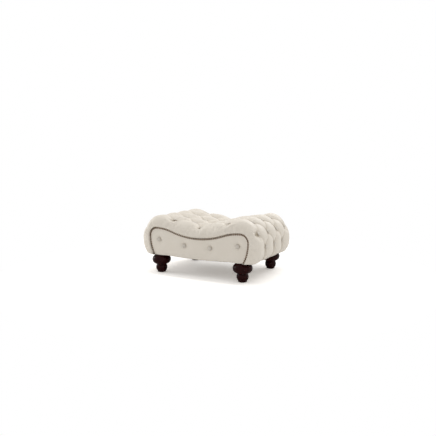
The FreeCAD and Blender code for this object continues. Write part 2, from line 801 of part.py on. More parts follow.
def turned_foot(doc, s, name):
    """A turned foot: half of its section as a bound sketch, revolved about its axis."""
    body = doc.addObject("PartDesign::Body", name)
    sketch = body.newObject("Sketcher::SketchObject", name + "_profile")
    sketch.AttachmentSupport = (next(f for f in body.Origin.OriginFeatures if f.Role == "XZ_Plane"), "")
    sketch.MapMode = "FlatFace"
    known = foot_values(s)
    points = [V(known[x], known[z]) for x, z in FOOT_CORNERS]
    for k, (start, end) in enumerate(zip(points, points[1:] + points[:1])):
        if k in FOOT_SWELLS:
            middle = V(*[known[text] for text in FOOT_SWELLS[k]])
            sketch.addGeometry(Part.Arc(start, middle, end), False)
        else:
            sketch.addGeometry(Part.LineSegment(start, end), False)
    ends = []
    for k, start in enumerate(points):
        first = 1 if (sketch.getPoint(k, 1) - start).Length < s.bolt_room else 2
        ends.append((first, 3 - first))
    for k, texts in enumerate(FOOT_CORNERS):
        sketch.addConstraint(Sketcher.Constraint("Coincident", k - 1 if k else len(points) - 1,
                                                 ends[k - 1][1], k, ends[k][0]))
        hold_point(sketch, k, ends[k][0], texts)
    for k, texts in FOOT_SWELLS.items():
        swell = sketch.addGeometry(Part.Point(V(*[known[text] for text in texts])), True)
        sketch.addConstraint(Sketcher.Constraint("PointOnObject", swell, 1, k))
        hold_point(sketch, swell, 1, texts)
    spin = body.newObject("PartDesign::Revolution", name + "_turning")
    spin.Profile = sketch
    spin.ReferenceAxis = (sketch, ["V_Axis"])
    spin.Angle = 360
    return body


def at_foot(piece, x_sign, y_sign, z="0"):
    """Place a piece on the axis of one foot."""
    return place(piece, f"{x_sign} * ({RAIL_FACE} - foot_setback)", f"{y_sign} * (panel_plane - foot_inset)", z)


def foot_pieces(doc, s):
    """Feet, glides, bolts, tee nuts and corner blocks."""
    nodes, bolts, nuts = {}, [], []
    block_top = "base_level + block_height"
    for end, y_sign in ENDS:
        for side, x_sign in SIDES:
            where = f"{end}_{side}"
            nodes[f"{where}_foot"] = at_foot(turned_foot(doc, s, f"{where}_foot"), x_sign, y_sign)
            glide = bound(doc, "Part::Cylinder", f"{where}_glide", Radius="glide_radius", Height="glide_height")
            nodes[f"{where}_glide"] = at_foot(glide, x_sign, y_sign)

            block = bound(doc, "Part::Box", f"{where}_block_blank",
                          Length="block_length", Width="block_length", Height="block_height")
            x = f"({RAIL_FACE} - rail_thick)"
            place(block, f"{x} - block_length" if x_sign > 0 else f"-{x}",
                  f"{BOARD_INSIDE} - block_length" if y_sign > 0 else f"-{BOARD_INSIDE}", "base_level")
            bore = bound(doc, "Part::Cylinder", f"{where}_block_bore",
                         Radius="nut_barrel_radius + bolt_room", Height="block_height + 2 * overrun")
            at_foot(bore, x_sign, y_sign, "base_level - overrun")
            nodes[f"{where}_corner_block"] = cut(doc, f"{where}_corner_block", block, bore)

            bolt = bound(doc, "Part::Cylinder", f"{where}_bolt", Radius="bolt_radius",
                         Height=f"{block_top} + nut_flange_thick + bolt_over_nut - {FOOT_TOP} + bolt_in_foot")
            bolts.append(at_foot(bolt, x_sign, y_sign, f"{FOOT_TOP} - bolt_in_foot"))

            flange = bound(doc, "Part::Cylinder", f"{where}_nut_flange",
                           Radius="nut_flange_radius", Height="nut_flange_thick")
            at_foot(flange, x_sign, y_sign, block_top)
            barrel = bound(doc, "Part::Cylinder", f"{where}_nut_barrel",
                           Radius="nut_barrel_radius", Height="nut_barrel_length")
            at_foot(barrel, x_sign, y_sign, f"{block_top} - nut_barrel_length")
            whole = doc.addObject("Part::Fuse", f"{where}_nut_blank")
            whole.Base = flange
            whole.Tool = barrel
            thread = bound(doc, "Part::Cylinder", f"{where}_nut_thread", Radius=BORE,
                           Height="nut_barrel_length + nut_flange_thick + 2 * overrun")
            at_foot(thread, x_sign, y_sign, f"{block_top} - nut_barrel_length - overrun")
            nuts.append(cut(doc, f"{where}_nut", whole, thread))
    nodes["hanger_bolts"] = group(doc, "hanger_bolts", bolts)
    nodes["tee_nuts"] = group(doc, "tee_nuts", nuts)
    return nodes


def rails(doc, screw_holes):
    """End rails and roll rails, bored for their screws."""
    nodes = {}
    side = "(body_half_width - foam_thick - deck_thick)"
    kinds = (
        ("end_rail", RAIL_FACE, "base_level", "rail_height"),
        ("roll_rail", side, "base_level + roll_panel_rise", "roll_rail_height"),
    )
    for name, face, low, height in kinds:
        for where, sign in SIDES:
            blank = bound(doc, "Part::Box", f"{where}_{name}_blank",
                          Length="rail_thick", Width=f"2 * {BOARD_INSIDE}", Height=height)
            place(blank, f"{face} - rail_thick" if sign > 0 else f"-{face}", f"-{BOARD_INSIDE}", low)
            nodes[f"{where}_{name}"] = cut(doc, f"{where}_{name}", blank, screw_holes)
    return nodes


def dust_cover(doc):
    """Cambric under the frame, open around the hanger bolts."""
    half_x = f"({RAIL_FACE} - dust_inset)"
    half_y = "(panel_plane - dust_inset - leather_thick - soft_gap)"
    sheet = bound(doc, "Part::Box", "dust_cover_blank",
                  Length=f"2 * {half_x}", Width=f"2 * {half_y}", Height="dust_thick")
    place(sheet, f"-{half_x}", f"-{half_y}", f"{FOOT_TOP} + soft_gap")
    holes = []
    for end, y_sign in ENDS:
        for side, x_sign in SIDES:
            hole = bound(doc, "Part::Cylinder", f"{end}_{side}_dust_hole",
                         Radius=BORE, Height="dust_thick + 2 * overrun")
            holes.append(at_foot(hole, x_sign, y_sign, f"{FOOT_TOP} - overrun"))
    return cut(doc, "dust_cover", sheet, group(doc, "dust_holes", holes))


def soft_and_frame_pieces(doc, s):
    """Everything whose shape follows the saddle outline or the panel's outline."""
    frames = button_frames(s)
    twine_tools = twine_holes(s, frames)
    screw_tools = screws(s, s.screw_room)
    x_axis, y_axis = V(1, 0, 0), V(0, 1, 0)
    shapes = {
        "tufted_cover": tufted_cover(s).cut(twine_tools),
        "seat_foam": seat_foam(s).cut(twine_tools),
        "front_edge_roll": edge_roll(s),
        "front_facing_leather": facing_leather(s).cut(nail_holes(s)).cut(twine_tools),
        "front_facing_pad": facing_pad(s).cut(nail_holes(s)).cut(twine_tools),
        "front_facing_board": facing_board(s).cut(nail_holes(s)).cut(twine_tools),
        "front_frame_board": frame_board(s).cut(screw_tools).cut(twine_tools),
        "front_nail_trim": nail_trim(s),
        "right_seat_board": seat_board(s).cut(twine_tools),
        "right_roll_panel": roll_panel(s).cut(twine_tools),
        "right_top_batten": top_batten(s)[0].cut(screw_tools),
        "right_stretcher": stretcher(s)[0].cut(screw_tools),
        "button_twines": button_twines(s, frames),
        "twine_washers": twine_washers(s, frames),
        "frame_screws": screws(s, 0),
    }
    for name in list(shapes):
        if name.startswith("front_"):
            shapes[name.replace("front_", "back_")] = mirrored(shapes[name], y_axis)
        if name.startswith("right_"):
            shapes[name.replace("right_", "left_")] = mirrored(shapes[name], x_axis)
    for node, places in frames.items():
        shapes[node] = Part.makeCompound([button(s, seat, outward) for seat, _, outward in places])
    return {name: feature(doc, name, shape) for name, shape in shapes.items()}


def check(doc, nodes):
    """Stop if an object failed or a sub-part isn't one or more sound solids."""
    for item in doc.Objects:
        if "Invalid" in item.State or "Error" in item.State:
            raise RuntimeError(f"{item.Label} failed: {item.State}")
    for name, piece in nodes.items():
        shape = piece.Shape
        if shape.isNull() or not shape.isValid() or not shape.Solids:
            raise RuntimeError(f"{name} has no sound solid")


def main():
    doc = FreeCAD.newDocument("footstool")
    s = read_sizes(make_sheet(doc))
    nodes = soft_and_frame_pieces(doc, s)
    screw_holes = feature(doc, "screw_holes", screws(s, s.screw_room))
    nodes.update(rails(doc, screw_holes))
    nodes.update(foot_pieces(doc, s))
    nodes["dust_cover"] = dust_cover(doc)
    for name, piece in nodes.items():
        piece.Label = name
    doc.recompute()
    check(doc, nodes)
    os.makedirs("parts", exist_ok=True)
    for name, piece in nodes.items():
        piece.Shape.exportStep(f"parts/{name}.step")
        print(f"{name}: {len(piece.Shape.Solids)} solids, {piece.Shape.Volume / 1000:.1f} cm3")


main()
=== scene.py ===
# %% [markdown]
# # A deep-buttoned saddle footstool
#
# The real thing is a small upholstered stool: a wooden frame with a dipped seat and a roll
# at each end, foam and wadding over it, one cream hide pulled down with covered buttons,
# a nailed panel in front and at the back, and four turned feet. The wooden parts, the nails
# and the buttons come ready from the construction model, so this lesson only gives them
# finishes. What construction tools make too stiff is made again here: the hide with its
# puffs and pleats, the two padded panels and the black cloth below the frame.

# %% Libraries and the construction model
import json
import math

import bmesh
import bpy
import numpy as np
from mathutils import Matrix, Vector


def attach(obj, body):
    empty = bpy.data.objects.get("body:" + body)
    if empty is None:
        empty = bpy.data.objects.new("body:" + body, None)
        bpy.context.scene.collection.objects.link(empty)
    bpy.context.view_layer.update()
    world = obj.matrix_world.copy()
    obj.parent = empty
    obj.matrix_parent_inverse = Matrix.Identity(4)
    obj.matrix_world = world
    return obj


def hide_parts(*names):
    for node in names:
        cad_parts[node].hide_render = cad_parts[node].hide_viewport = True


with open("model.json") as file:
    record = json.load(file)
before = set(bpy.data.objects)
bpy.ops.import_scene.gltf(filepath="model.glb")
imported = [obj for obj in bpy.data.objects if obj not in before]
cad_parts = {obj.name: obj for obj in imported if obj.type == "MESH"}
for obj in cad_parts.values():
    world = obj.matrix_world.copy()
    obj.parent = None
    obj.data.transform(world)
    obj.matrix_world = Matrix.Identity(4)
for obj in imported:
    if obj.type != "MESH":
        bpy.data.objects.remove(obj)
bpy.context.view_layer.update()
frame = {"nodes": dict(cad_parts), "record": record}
nodes = frame["nodes"]
print(f"{len(nodes)} pieces from the construction model")

# %% [markdown]
# ## The sizes of the body
#
# Everything soft follows two lines. The crown line runs over the seat and the rolls, seen
# from the front. The panel line is the edge of the nailed panel. Both are chains of straight
# lines and arcs that run on into each other, so a chain is a list of lengths and bends.
# They are written in millimetres, because that is how an upholsterer thinks, and become
# metres only when a mesh is made.

# %% Sizes in millimetres
MM = 0.001

# Body: half the width over the rolls, the top of a roll, and the lowest line of the hide.
HALF_WIDTH = 358.0
TOP = 316.0
HIDE_BOTTOM = 102.3

# Crown line: radius of a roll and of the turn under it, slope of the seat, turned-in strip.
ROLL_RADIUS = 120.0
UNDER_RADIUS = 60.0
SLOPE_SHARE = 0.2
SEAT_SLOPE = math.atan(SLOPE_SHARE)
STRIP_WIDTH = 36.0

# Panel line: width of the border at the sides and in the dip, rise of the dip's bend, where
# that bend ends on the way to the horn, radius of the horn, and how far the side draws in.
BORDER_SIDE = 55.0
BORDER_DIP = 57.5
DIP_RISE = 25.8
BEND_SHARE = 0.6
HORN_RADIUS = 48.0
PANEL_INSET = 26.0

# Buttons: rows from the middle to the last one, which is a little above the turn under, and
# the outer column, three half pitches from the middle.
ROW_SHARES = (0, 0.17, 0.375, 0.625, 0.815, 1)
LAST_ROW_RISE = 16.5
OUTER_BUTTONS = 172.5
OUTER_COLUMN = 3
print(f"{2 * HALF_WIDTH:.0f} mm wide, seat rises {math.degrees(SEAT_SLOPE):.0f} degrees to each side")

# %% [markdown]
# ## Walking along a line
#
# A chain is walked in one go for a whole array of distances. On a straight piece a point
# moves on by cosine and sine of the heading. On an arc the heading turns evenly, and the
# point moves by the difference of the sines and cosines over the curvature.


# %% Chains of lines and arcs
def step_along(x, z, heading, step, curve):
    """Where a step along a line, or along an arc of that curvature, leads to."""
    turned = heading + step * curve
    if curve:
        x = x + (np.sin(turned) - np.sin(heading)) / curve
        z = z - (np.cos(turned) - np.cos(heading)) / curve
    else:
        x = x + step * np.cos(heading)
        z = z + step * np.sin(heading)
    return x, z, turned


def walk(chain, run):
    """Points and headings at distances along a chain of (length, curvature) pieces."""
    (x, z), heading, pieces = chain
    run = np.asarray(run, float)
    found = np.zeros((3, *run.shape))
    done = 0.0
    for length, curve in pieces:
        here = np.stack(step_along(x, z, heading, run - done, curve))
        found = np.where(run >= done, here, found)
        x, z, heading = step_along(x, z, heading, length, curve)
        done += length
    return found


arc_end = walk(((0.0, 0.0), 0.0, [(math.pi / 2, 1.0)]), math.pi / 2)[:2].round(2)
print("a quarter of a circle of radius 1 ends at", arc_end)


# %% [markdown]
# ## The two lines
#
# Only half of each line is written, from the middle of the stool outwards, because the left
# side mirrors the right one. Wherever a radius isn't given, it follows from the rest: an arc
# that rises by r over a width of b has the radius (b squared + r squared) / 2r.


# %% Crown line and panel line
def crown_chain(depth=0.0):
    """The crown line, or a line at a depth below it: seat, roll, side, turn under, strip."""
    radius = ROLL_RADIUS - depth
    run = (HALF_WIDTH - ROLL_RADIUS - radius * math.sin(SEAT_SLOPE)) / math.cos(SEAT_SLOPE)
    start = TOP - ROLL_RADIUS + radius * math.cos(SEAT_SLOPE) - run * math.sin(SEAT_SLOPE)
    side = TOP - ROLL_RADIUS - UNDER_RADIUS - HIDE_BOTTOM
    pieces = [
        (run, 0.0),
        (radius * (SEAT_SLOPE + math.pi / 2), -1 / radius),
        (side, 0.0),
        (UNDER_RADIUS * math.pi / 2, -1 / UNDER_RADIUS),
        (STRIP_WIDTH, 0.0),
    ]
    return (0.0, start), SEAT_SLOPE, pieces


def panel_chain():
    """The panel's edge: an arc up out of the dip, one back to level, the horn, the side."""
    dip = crown_chain()[0][1] - BORDER_DIP
    horn = HALF_WIDTH - BORDER_SIDE - HORN_RADIUS
    bend = horn * BEND_SHARE
    turn = 2 * math.atan(DIP_RISE / bend)
    first = (bend ** 2 + DIP_RISE ** 2) / (2 * DIP_RISE)
    second = (horn - bend) / math.sin(turn)
    pieces = [(first * turn, 1 / first), (second * turn, -1 / second)]
    pieces.append((HORN_RADIUS * math.pi / 2, -1 / HORN_RADIUS))
    drop = dip + (first + second) * (1 - math.cos(turn)) - HORN_RADIUS - HIDE_BOTTOM
    side = (drop ** 2 + PANEL_INSET ** 2) / (2 * PANEL_INSET)
    pieces.append((side * math.asin(drop / side), -1 / side))
    return (0.0, dip), 0.0, pieces


CROWN_LENGTH = sum(length for length, _ in crown_chain()[2][:-1])
PANEL_LENGTH = sum(length for length, _ in panel_chain()[2])
LAST_ROW = sum(length for length, _ in crown_chain()[2][:-2]) - LAST_ROW_RISE
ROW_RUNS = np.array(ROW_SHARES) * LAST_ROW
HALF_PITCH = OUTER_BUTTONS / OUTER_COLUMN
print(f"crown line {CROWN_LENGTH:.0f} mm, panel line {PANEL_LENGTH:.0f} mm")
print("rows of buttons at", ROW_RUNS.round(0), "mm along the crown line")

# %% [markdown]
# ## How deep the hide is pulled
#
# Buttons sit on a lattice of diamonds. Two numbers, alpha and beta, count along the two
# diagonals of the lattice: where either is whole there is a pleat, and where both are whole
# there is a button. Inside a diamond the hide rises as the root of a product of sines, which
# stands up steeply beside a pleat and is full in the middle, like a pillow. A second, weaker
# term lifts the middle of each pleat above its two buttons. Outside the buttons the lattice
# stops, so its last value is carried on: that gives the straight pleats that run from the
# outer buttons towards the panel and the hem, where they fade away.

# %% Depth of puffs and pleats
TUFT_DEPTH = 16.0
PLEAT_RISE = 5.0
PUFF_POWER = 0.5
VALLEY_WIDTH = 40.0
HEM_FADE = 90.0


def lattice(run, across):
    """Alpha is half of row + column - 1, beta half of row - column - 1; both stop outside."""
    row = np.sign(run) * np.interp(np.abs(run), ROW_RUNS, np.arange(len(ROW_RUNS)))
    column = np.clip(across / HALF_PITCH, -OUTER_COLUMN, OUTER_COLUMN)
    return (row + column - 1) / 2, (row - column - 1) / 2


def puff_height(run, across):
    """From 0 at a button to 1 on a crown: mostly the root of both sines multiplied, and a share
    of one minus the product of what each sine lacks to one."""
    alpha, beta = lattice(run, across)
    rise_a = np.abs(np.sin(np.pi * alpha))
    rise_b = np.abs(np.sin(np.pi * beta))
    pillow = (rise_a * rise_b) ** PUFF_POWER
    pleat = 1 - (1 - rise_a) * (1 - rise_b)
    share = PLEAT_RISE / TUFT_DEPTH
    return (1 - share) * pillow + share * pleat


def tuft_depth(run, across):
    """Millimetres below the crown line: the tuft's depth times what is missing from the puff,
    less at the hem, minus a filling of the seat's sharp valley that follows a hyperbola."""
    height = puff_height(run, across)
    fade = np.clip((CROWN_LENGTH - np.abs(run)) / HEM_FADE, 0, 1)
    x = np.abs(run) * math.cos(SEAT_SLOPE)
    filled = SLOPE_SHARE * (np.hypot(x, VALLEY_WIDTH) - x)
    return TUFT_DEPTH * (1 - height) * fade - filled * height ** 2


print(f"at a seat button the hide lies {float(tuft_depth(ROW_RUNS[1], 0.0)):.0f} mm deep")

# %% [markdown]
# ## Puckers around the buttons
#
# Where twine pulls a hide down, its surplus gathers in short folds that point at the button.
# Each button gets its own number of them. The fold's height is a cosine of the angle around
# the button, strongest just outside the button and gone two buttons' widths away. A seeded
# generator gives the angles, so every run makes the same stool.

# %% Puckers
PUCKER = 0.7
PUCKER_AT = 17.0
PUCKER_WIDTH = 9.0
PUCKER_COUNTS = (6, 9)
PUCKER_SWAY = 0.8
SEED = 7
rng = np.random.default_rng(SEED)


def button_spots():
    """Run and place across of every button: odd rows are shifted by half a pitch."""
    spots = []
    for row in range(-len(ROW_RUNS) + 1, len(ROW_RUNS)):
        first = OUTER_COLUMN - row % 2
        run = math.copysign(ROW_RUNS[abs(row)], row)
        spots += [(run, column * HALF_PITCH) for column in range(-first, first + 1, 2)]
    return spots


def puckers(first, second, spots):
    """Height of the folds around all spots: a bell over the distance times a swaying cosine."""
    height = np.zeros(np.broadcast(first, second).shape)
    for spot in spots:
        folds = rng.integers(*PUCKER_COUNTS)
        turn = rng.uniform(0, 2 * np.pi)
        a = first - spot[0]
        b = second - spot[1]
        radius = np.hypot(a, b)
        near = np.exp(-((radius - PUCKER_AT) / PUCKER_WIDTH) ** 2)
        angle = np.arctan2(b, a)
        sway = PUCKER_SWAY * np.sin(2 * angle + turn)
        height += PUCKER * near * np.cos(folds * angle + turn + sway)
    return height


print(len(button_spots()), "buttons on seat and rolls")

# %% [markdown]
# ## The hide as one surface
#
# The surface has two directions. One is the run along the crown line, from the turned-in
# strip under the left roll over the seat to the strip under the right one. The other goes
# from the nail line of the front panel, round the plump border, over the seat and down to
# the panel at the back. Here that second direction gets its stations, so many on the seat
# and on the border that columns of points are a little under 3 mm apart on both.

# %% Stations across the hide
BORDER_START = 187.5
SEAT_STEPS = 136
BORDER_STEPS = 26
LIP_STEPS = 6


def across_stations():
    """Place on the seat, angle round the border and angle round the lip of each column."""
    quarter = math.pi / 2
    border = np.linspace(0, quarter, BORDER_STEPS + 1)[1:]
    lip = np.linspace(0, quarter, LIP_STEPS + 1)[1:]
    seat = np.linspace(-BORDER_START, BORDER_START, SEAT_STEPS + 1)
    beyond = BORDER_STEPS + LIP_STEPS
    around = np.concatenate([border, np.full(LIP_STEPS, quarter)])
    tucked = np.concatenate([np.zeros(BORDER_STEPS), lip])
    place = np.pad(seat, beyond, mode="edge")
    around = np.concatenate([around[::-1], 0 * seat, around])
    tucked = np.concatenate([tucked[::-1], 0 * seat, tucked])
    return place[None], around[None], tucked[None]


places = across_stations()[0]
print(places.size, "columns of points from panel to panel")

# %% [markdown]
# ## The two lines as guides of the hide
#
# At each run the hide is stretched between a point of the crown line and a point of the
# panel line. Where the roll turns under, the stuffing has sunk with the years: there the
# hide hangs out of the line by a wave of a few millimetres. In mid-seat the two halves of
# the line meet in a valley, so for a few centimetres inwards simply means down.

# %% Guides for the hide
SMOOTH_MIDDLE = 30.0
SIDE_ROOM = 4.0
STRIP_SHARE = 0.15
HEM_SAG = 6.0
HEM_SAG_RISE = 22.0
HEM_SAG_WIDTH = 36.0


def hem_sag(run):
    """How far the stuffing sags out of the line: a squared cosine round a place near the hem."""
    apart = (np.abs(run) - (CROWN_LENGTH - HEM_SAG_RISE)) / HEM_SAG_WIDTH
    return HEM_SAG * np.cos(np.clip(apart, -1, 1) * math.pi / 2) ** 2


def crown_points(run, depth):
    """The crown line, moved against its normal by the depth and a little room at the sides."""
    x, z, turned = walk(crown_chain(), np.abs(run))
    near = np.clip(np.abs(run) / SMOOTH_MIDDLE, 0, 1)
    turned = turned * near * near * (3 - 2 * near)
    depth = depth + SIDE_ROOM * np.sin(turned) ** 2 - hem_sag(run)
    side = np.where(run < 0, -1.0, 1.0)
    return side * (x + depth * np.sin(turned)), z - depth * np.cos(turned)


def panel_points(run):
    """The panel line at the same share of its length; below it the strip is a narrow hem."""
    size = np.abs(run)
    strip = STRIP_SHARE * np.clip(size - CROWN_LENGTH, 0, None)
    x, z, _ = walk(panel_chain(), np.minimum(size / CROWN_LENGTH, 1) * PANEL_LENGTH)
    return np.where(run < 0, -1.0, 1.0) * (x - strip), z


print("hem sags by up to", round(float(hem_sag(CROWN_LENGTH - HEM_SAG_RISE)), 1), "mm")

# %% [markdown]
# ## All points of the hide
#
# On the border each point slides from the crown line to the panel line while it swings
# forward on a quarter of an ellipse, and a second, smaller quarter rolls it back into the
# nail line. The tufts' depth fades on the way, so the border itself is plain and plump. No
# point may lie lower than the hem.

# %% Points of the hide
RUN_STEPS = 432
PANEL_PLANE = 220.0
BORDER_BULGE = 11.0
CREST_SHARE = 0.83
BORDER_FADE = 4


def hide_points(run, depth):
    """The hide in millimetres: rows along the run, columns from front to back."""
    place, around, tucked = across_stations()
    swing = 1 - np.cos(around)
    share = CREST_SHARE * swing + (1 - CREST_SHARE) * np.sin(tucked)
    body_x, body_z = crown_points(run, depth * (1 - swing) ** BORDER_FADE)
    edge_x, edge_z = panel_points(run)
    bulge = PANEL_PLANE + BORDER_BULGE - BORDER_START
    out = bulge * np.sin(around) - BORDER_BULGE * (1 - np.cos(tucked))
    x = body_x + (edge_x - body_x) * share
    z = body_z + (edge_z - body_z) * share
    y = place + np.sign(place) * out
    return np.stack(np.broadcast_arrays(x, y, np.maximum(z, HIDE_BOTTOM - hem_sag(run))), -1)


RUN_END = CROWN_LENGTH + STRIP_WIDTH
runs = np.linspace(-RUN_END, RUN_END, RUN_STEPS + 1)[:, None]
depths = tuft_depth(runs, places) - puckers(runs, places, button_spots())
hide = hide_points(runs, depths)
print("hide", hide.shape, "from", hide.min((0, 1)).round(1), "to", hide.max((0, 1)).round(1))

# %% [markdown]
# ## From an array to a mesh
#
# A grid of points becomes a mesh of four-sided faces. The arrays go into the mesh in one
# step, which is much faster than adding vertices one by one. The way back is needed too,
# because a simulation leaves its result in a mesh.


# %% Arrays into meshes
def new_mesh(name, points, faces):
    """A smooth mesh object from points in millimetres and lists of corner numbers."""
    mesh = bpy.data.meshes.new(name)
    mesh.from_pydata((points * MM).tolist(), [], faces)
    mesh.update()
    mesh.polygons.foreach_set("use_smooth", np.ones(len(mesh.polygons), bool))
    piece = bpy.data.objects.new(name, mesh)
    bpy.context.scene.collection.objects.link(piece)
    return piece


def numbers(grid, first=0):
    """Running point numbers in the shape of a grid of points."""
    return first + np.arange(grid[..., 0].size).reshape(grid.shape[:2])


def grid_faces(number):
    """Quads between neighbouring entries of a grid of point numbers, facing outwards."""
    corners = [number[:-1, :-1], number[1:, :-1], number[1:, 1:], number[:-1, 1:]]
    return np.stack([corner.ravel() for corner in corners], -1).tolist()


def read_points(piece):
    """Points of a mesh as a simulation has left them, in millimetres."""
    evaluated = piece.evaluated_get(bpy.context.evaluated_depsgraph_get())
    found = np.empty(len(evaluated.data.vertices) * 3, np.float32)
    evaluated.data.vertices.foreach_get("co", found)
    return found.reshape(-1, 3) / MM


print("a grid of 4 by 3 points has", len(grid_faces(np.arange(12).reshape(4, 3))), "faces")


# %% [markdown]
# ## Where the hide is held
#
# The formula gives every puff the same perfect skin. A real hide is pushed out by wadding and
# held at its buttons, nails and hem, and what is left over lies in soft, uneven folds. Cloth
# simulation finds them, but it has to be told how firmly each point is held: a number from
# 0 to 1, which is 1 at buttons, hem and nails and smaller along the pleats.

# %% Held points
BUTTON_HOLD = 11.0
HEM_HOLD = HEM_FADE / 4
CREASE_HOLD = 0.35
CREASE_FALL = 1.6


def holds(run, across, around, tucked):
    """How firmly each point is held; in a pleat it falls off evenly as the puff rises."""
    held = CREASE_HOLD * np.clip(1 - puff_height(run, across) * CREASE_FALL, 0, 1)
    for spot in button_spots():
        held = np.where(np.hypot(run - spot[0], across - spot[1]) < BUTTON_HOLD, 1.0, held)
    held = np.where(np.abs(run) > CROWN_LENGTH - HEM_HOLD, 1.0, held)
    return np.where(tucked > 0, 1.0, held) + 0 * around


held = holds(runs, *across_stations())
print(f"{(held == 1).mean():.0%} of the points are held fast")

# %% [markdown]
# ## Letting the stuffing push
#
# Every second row and column of the grid becomes a cloth that is 3 % too large, because its
# shrink is negative. It is held where the real hide is held and blown up gently for twenty
# frames without gravity. Leather is stiff against stretching and soft against bending, so the
# settings are too. A smooth cap keeps each point near the formula's surface, and moves too
# small to matter are faded out.

# %% The cloth
FRAMES = 20
MOVE_CAP = 6.0
SMALL_MOVE = 0.3
HIDE_AS_CLOTH = {
    "quality": 5,
    "mass": 0.4,
    "tension_stiffness": 15,
    "compression_stiffness": 5,
    "bending_stiffness": 0.3,
    "pin_stiffness": 5,
    "use_pressure": True,
    "uniform_pressure_force": 4.0,
    "shrink_min": -0.03,
}


def blow_up(points, held):
    """How the pressure moves a grid of cloth: its way, bent to the cap by a hyperbolic tangent."""
    cloth = new_mesh("cloth_for_the_simulation", points.reshape(-1, 3), grid_faces(numbers(points)))
    pins = cloth.vertex_groups.new(name="held")
    weights = held.ravel().round(2)
    for weight in np.unique(weights[weights > 0]):
        pins.add(np.flatnonzero(weights == weight).tolist(), float(weight), "REPLACE")
    settings = cloth.modifiers.new("cloth", "CLOTH").settings
    for name, value in HIDE_AS_CLOTH.items():
        setattr(settings, name, value)
    settings.vertex_group_mass = pins.name
    settings.effector_weights.gravity = 0
    for step in range(1, FRAMES + 1):
        bpy.context.scene.frame_set(step)
    moved = read_points(cloth).reshape(points.shape) - points
    bpy.context.scene.frame_set(1)
    bpy.data.objects.remove(cloth)
    size = np.linalg.norm(moved, axis=-1, keepdims=True)
    return moved * np.tanh(size / MOVE_CAP) * MOVE_CAP / np.maximum(size, SMALL_MOVE)


print(len(HIDE_AS_CLOTH), "settings turn a cloth into a hide")


# %% [markdown]
# ## Back to the fine grid
#
# The movement is known at every second point only. In between, a value comes from the four
# neighbours on its line with weights -1, 9, 9 and -1 sixteenths, which keeps the folds round
# where a plain mean would give them edges.


# %% Movement onto the fine grid
def twice_as_fine(grid):
    """A grid with a point put between each two neighbours, first in rows, then in columns."""
    for axis in (0, 1):
        grid = np.moveaxis(grid, axis, 0)
        wide = np.pad(grid, [(1, 1)] + [(0, 0)] * (grid.ndim - 1), mode="edge")
        between = (9 * (wide[1:-2] + wide[2:-1]) - wide[:-3] - wide[3:]) / 16
        finer = np.empty((2 * len(grid) - 1, *grid.shape[1:]))
        finer[::2] = grid
        finer[1::2] = between
        grid = np.moveaxis(finer, 0, axis)
    return grid


moved = blow_up(hide[::2, ::2], held[::2, ::2])
hide = hide + twice_as_fine(moved)
hide[..., 2] = np.maximum(hide[..., 2], HIDE_BOTTOM - hem_sag(runs))
print(f"the cloth moved up to {np.linalg.norm(moved, axis=-1).max():.1f} mm")

# %% [markdown]
# ## The inside of the stuffing
#
# Seen from outside only the hide counts, but a part should be a closed body. So a second,
# four times coarser grid lies on the frame: over the deck, down the outside of the rails and
# forward to the panel's window.

# %% Inside of the stuffing
COARSE = 4
FOAM = 44.7
HIDE = 1.4
RAIL_X = 283.3
RAIL_Z = 115.7
ROLL_PANEL_Z = 131.7
BOARD_Y = 209.3
STRIP_X = 258.0
DECK_SAMPLES = 200


def inner_line(run):
    """The frame's outline below the stuffing: deck and roll, then corners at the rails."""
    chain = crown_chain(FOAM)
    to_side = chain[2][0][0] + chain[2][1][0]
    x, z, _ = walk(chain, np.linspace(0, to_side, DECK_SAMPLES))
    side = HALF_WIDTH - FOAM
    floor = HIDE_BOTTOM + HIDE
    x = np.append(x, [side, RAIL_X, RAIL_X, STRIP_X])
    z = np.append(z, [ROLL_PANEL_Z, RAIL_Z, floor, floor])
    length = np.append(0, np.cumsum(np.hypot(np.diff(x), np.diff(z))))
    along = np.interp(np.abs(run), [0, CROWN_LENGTH, RUN_END], [0, length[-2], length[-1]])
    return np.sign(run) * np.interp(along, length, x), np.interp(along, length, z)


def inner_points(run, outer):
    """The coarse grid: the frame's outline, and before its boards a wall out to the window."""
    deck_x, deck_z = inner_line(run)
    edge_x, edge_z = panel_points(run)
    y = outer[..., 1]
    before = np.abs(y[len(y) // 2]) > BOARD_Y
    count = before.sum() // 2
    share = np.zeros(len(before))
    share[:count] = np.linspace(1, 0, count)
    share[-count:] = np.linspace(0, 1, count)
    x = deck_x + (edge_x - deck_x) * share
    z = np.maximum(deck_z + (edge_z - deck_z) * share, HIDE_BOTTOM + HIDE)
    return np.stack(np.broadcast_arrays(x, np.clip(y, -BOARD_Y, BOARD_Y), z), -1)


inside = inner_points(runs[::COARSE], hide[::COARSE, ::COARSE])
print("inside", inside.shape, "points on the frame")

# %% [markdown]
# ## One closed body
#
# The rims of the two grids are joined by faces with four fine edges on one side and one
# coarse edge on the other. The inner grid is numbered backwards across, so that its faces
# look the other way: out of the stuffing and towards the frame.


# %% Hide and inside joined
def rim(number):
    """Point numbers once round the edge of a grid, and back at the first."""
    sides = [number[0], number[1:, -1], number[-1, -2::-1], number[-2::-1, 0]]
    return np.concatenate(sides)


def bridge(fine, coarse):
    """Faces between two rims, each with one coarse edge and COARSE fine ones."""
    faces = []
    for k in range(len(coarse) - 1):
        back = fine[k * COARSE:(k + 1) * COARSE + 1][::-1]
        faces.append([*coarse[k:k + 2].tolist(), *back.tolist()])
    return faces


outer_number = numbers(hide)
inner_number = numbers(inside, outer_number.size)
faces = grid_faces(outer_number) + grid_faces(inner_number[:, ::-1])
faces += bridge(rim(outer_number), rim(inner_number))
points = np.concatenate([hide.reshape(-1, 3), inside.reshape(-1, 3)])
cover = new_mesh("tufted_hide", points, faces)
print(f"tufted hide: {len(points)} points, {len(faces)} faces")

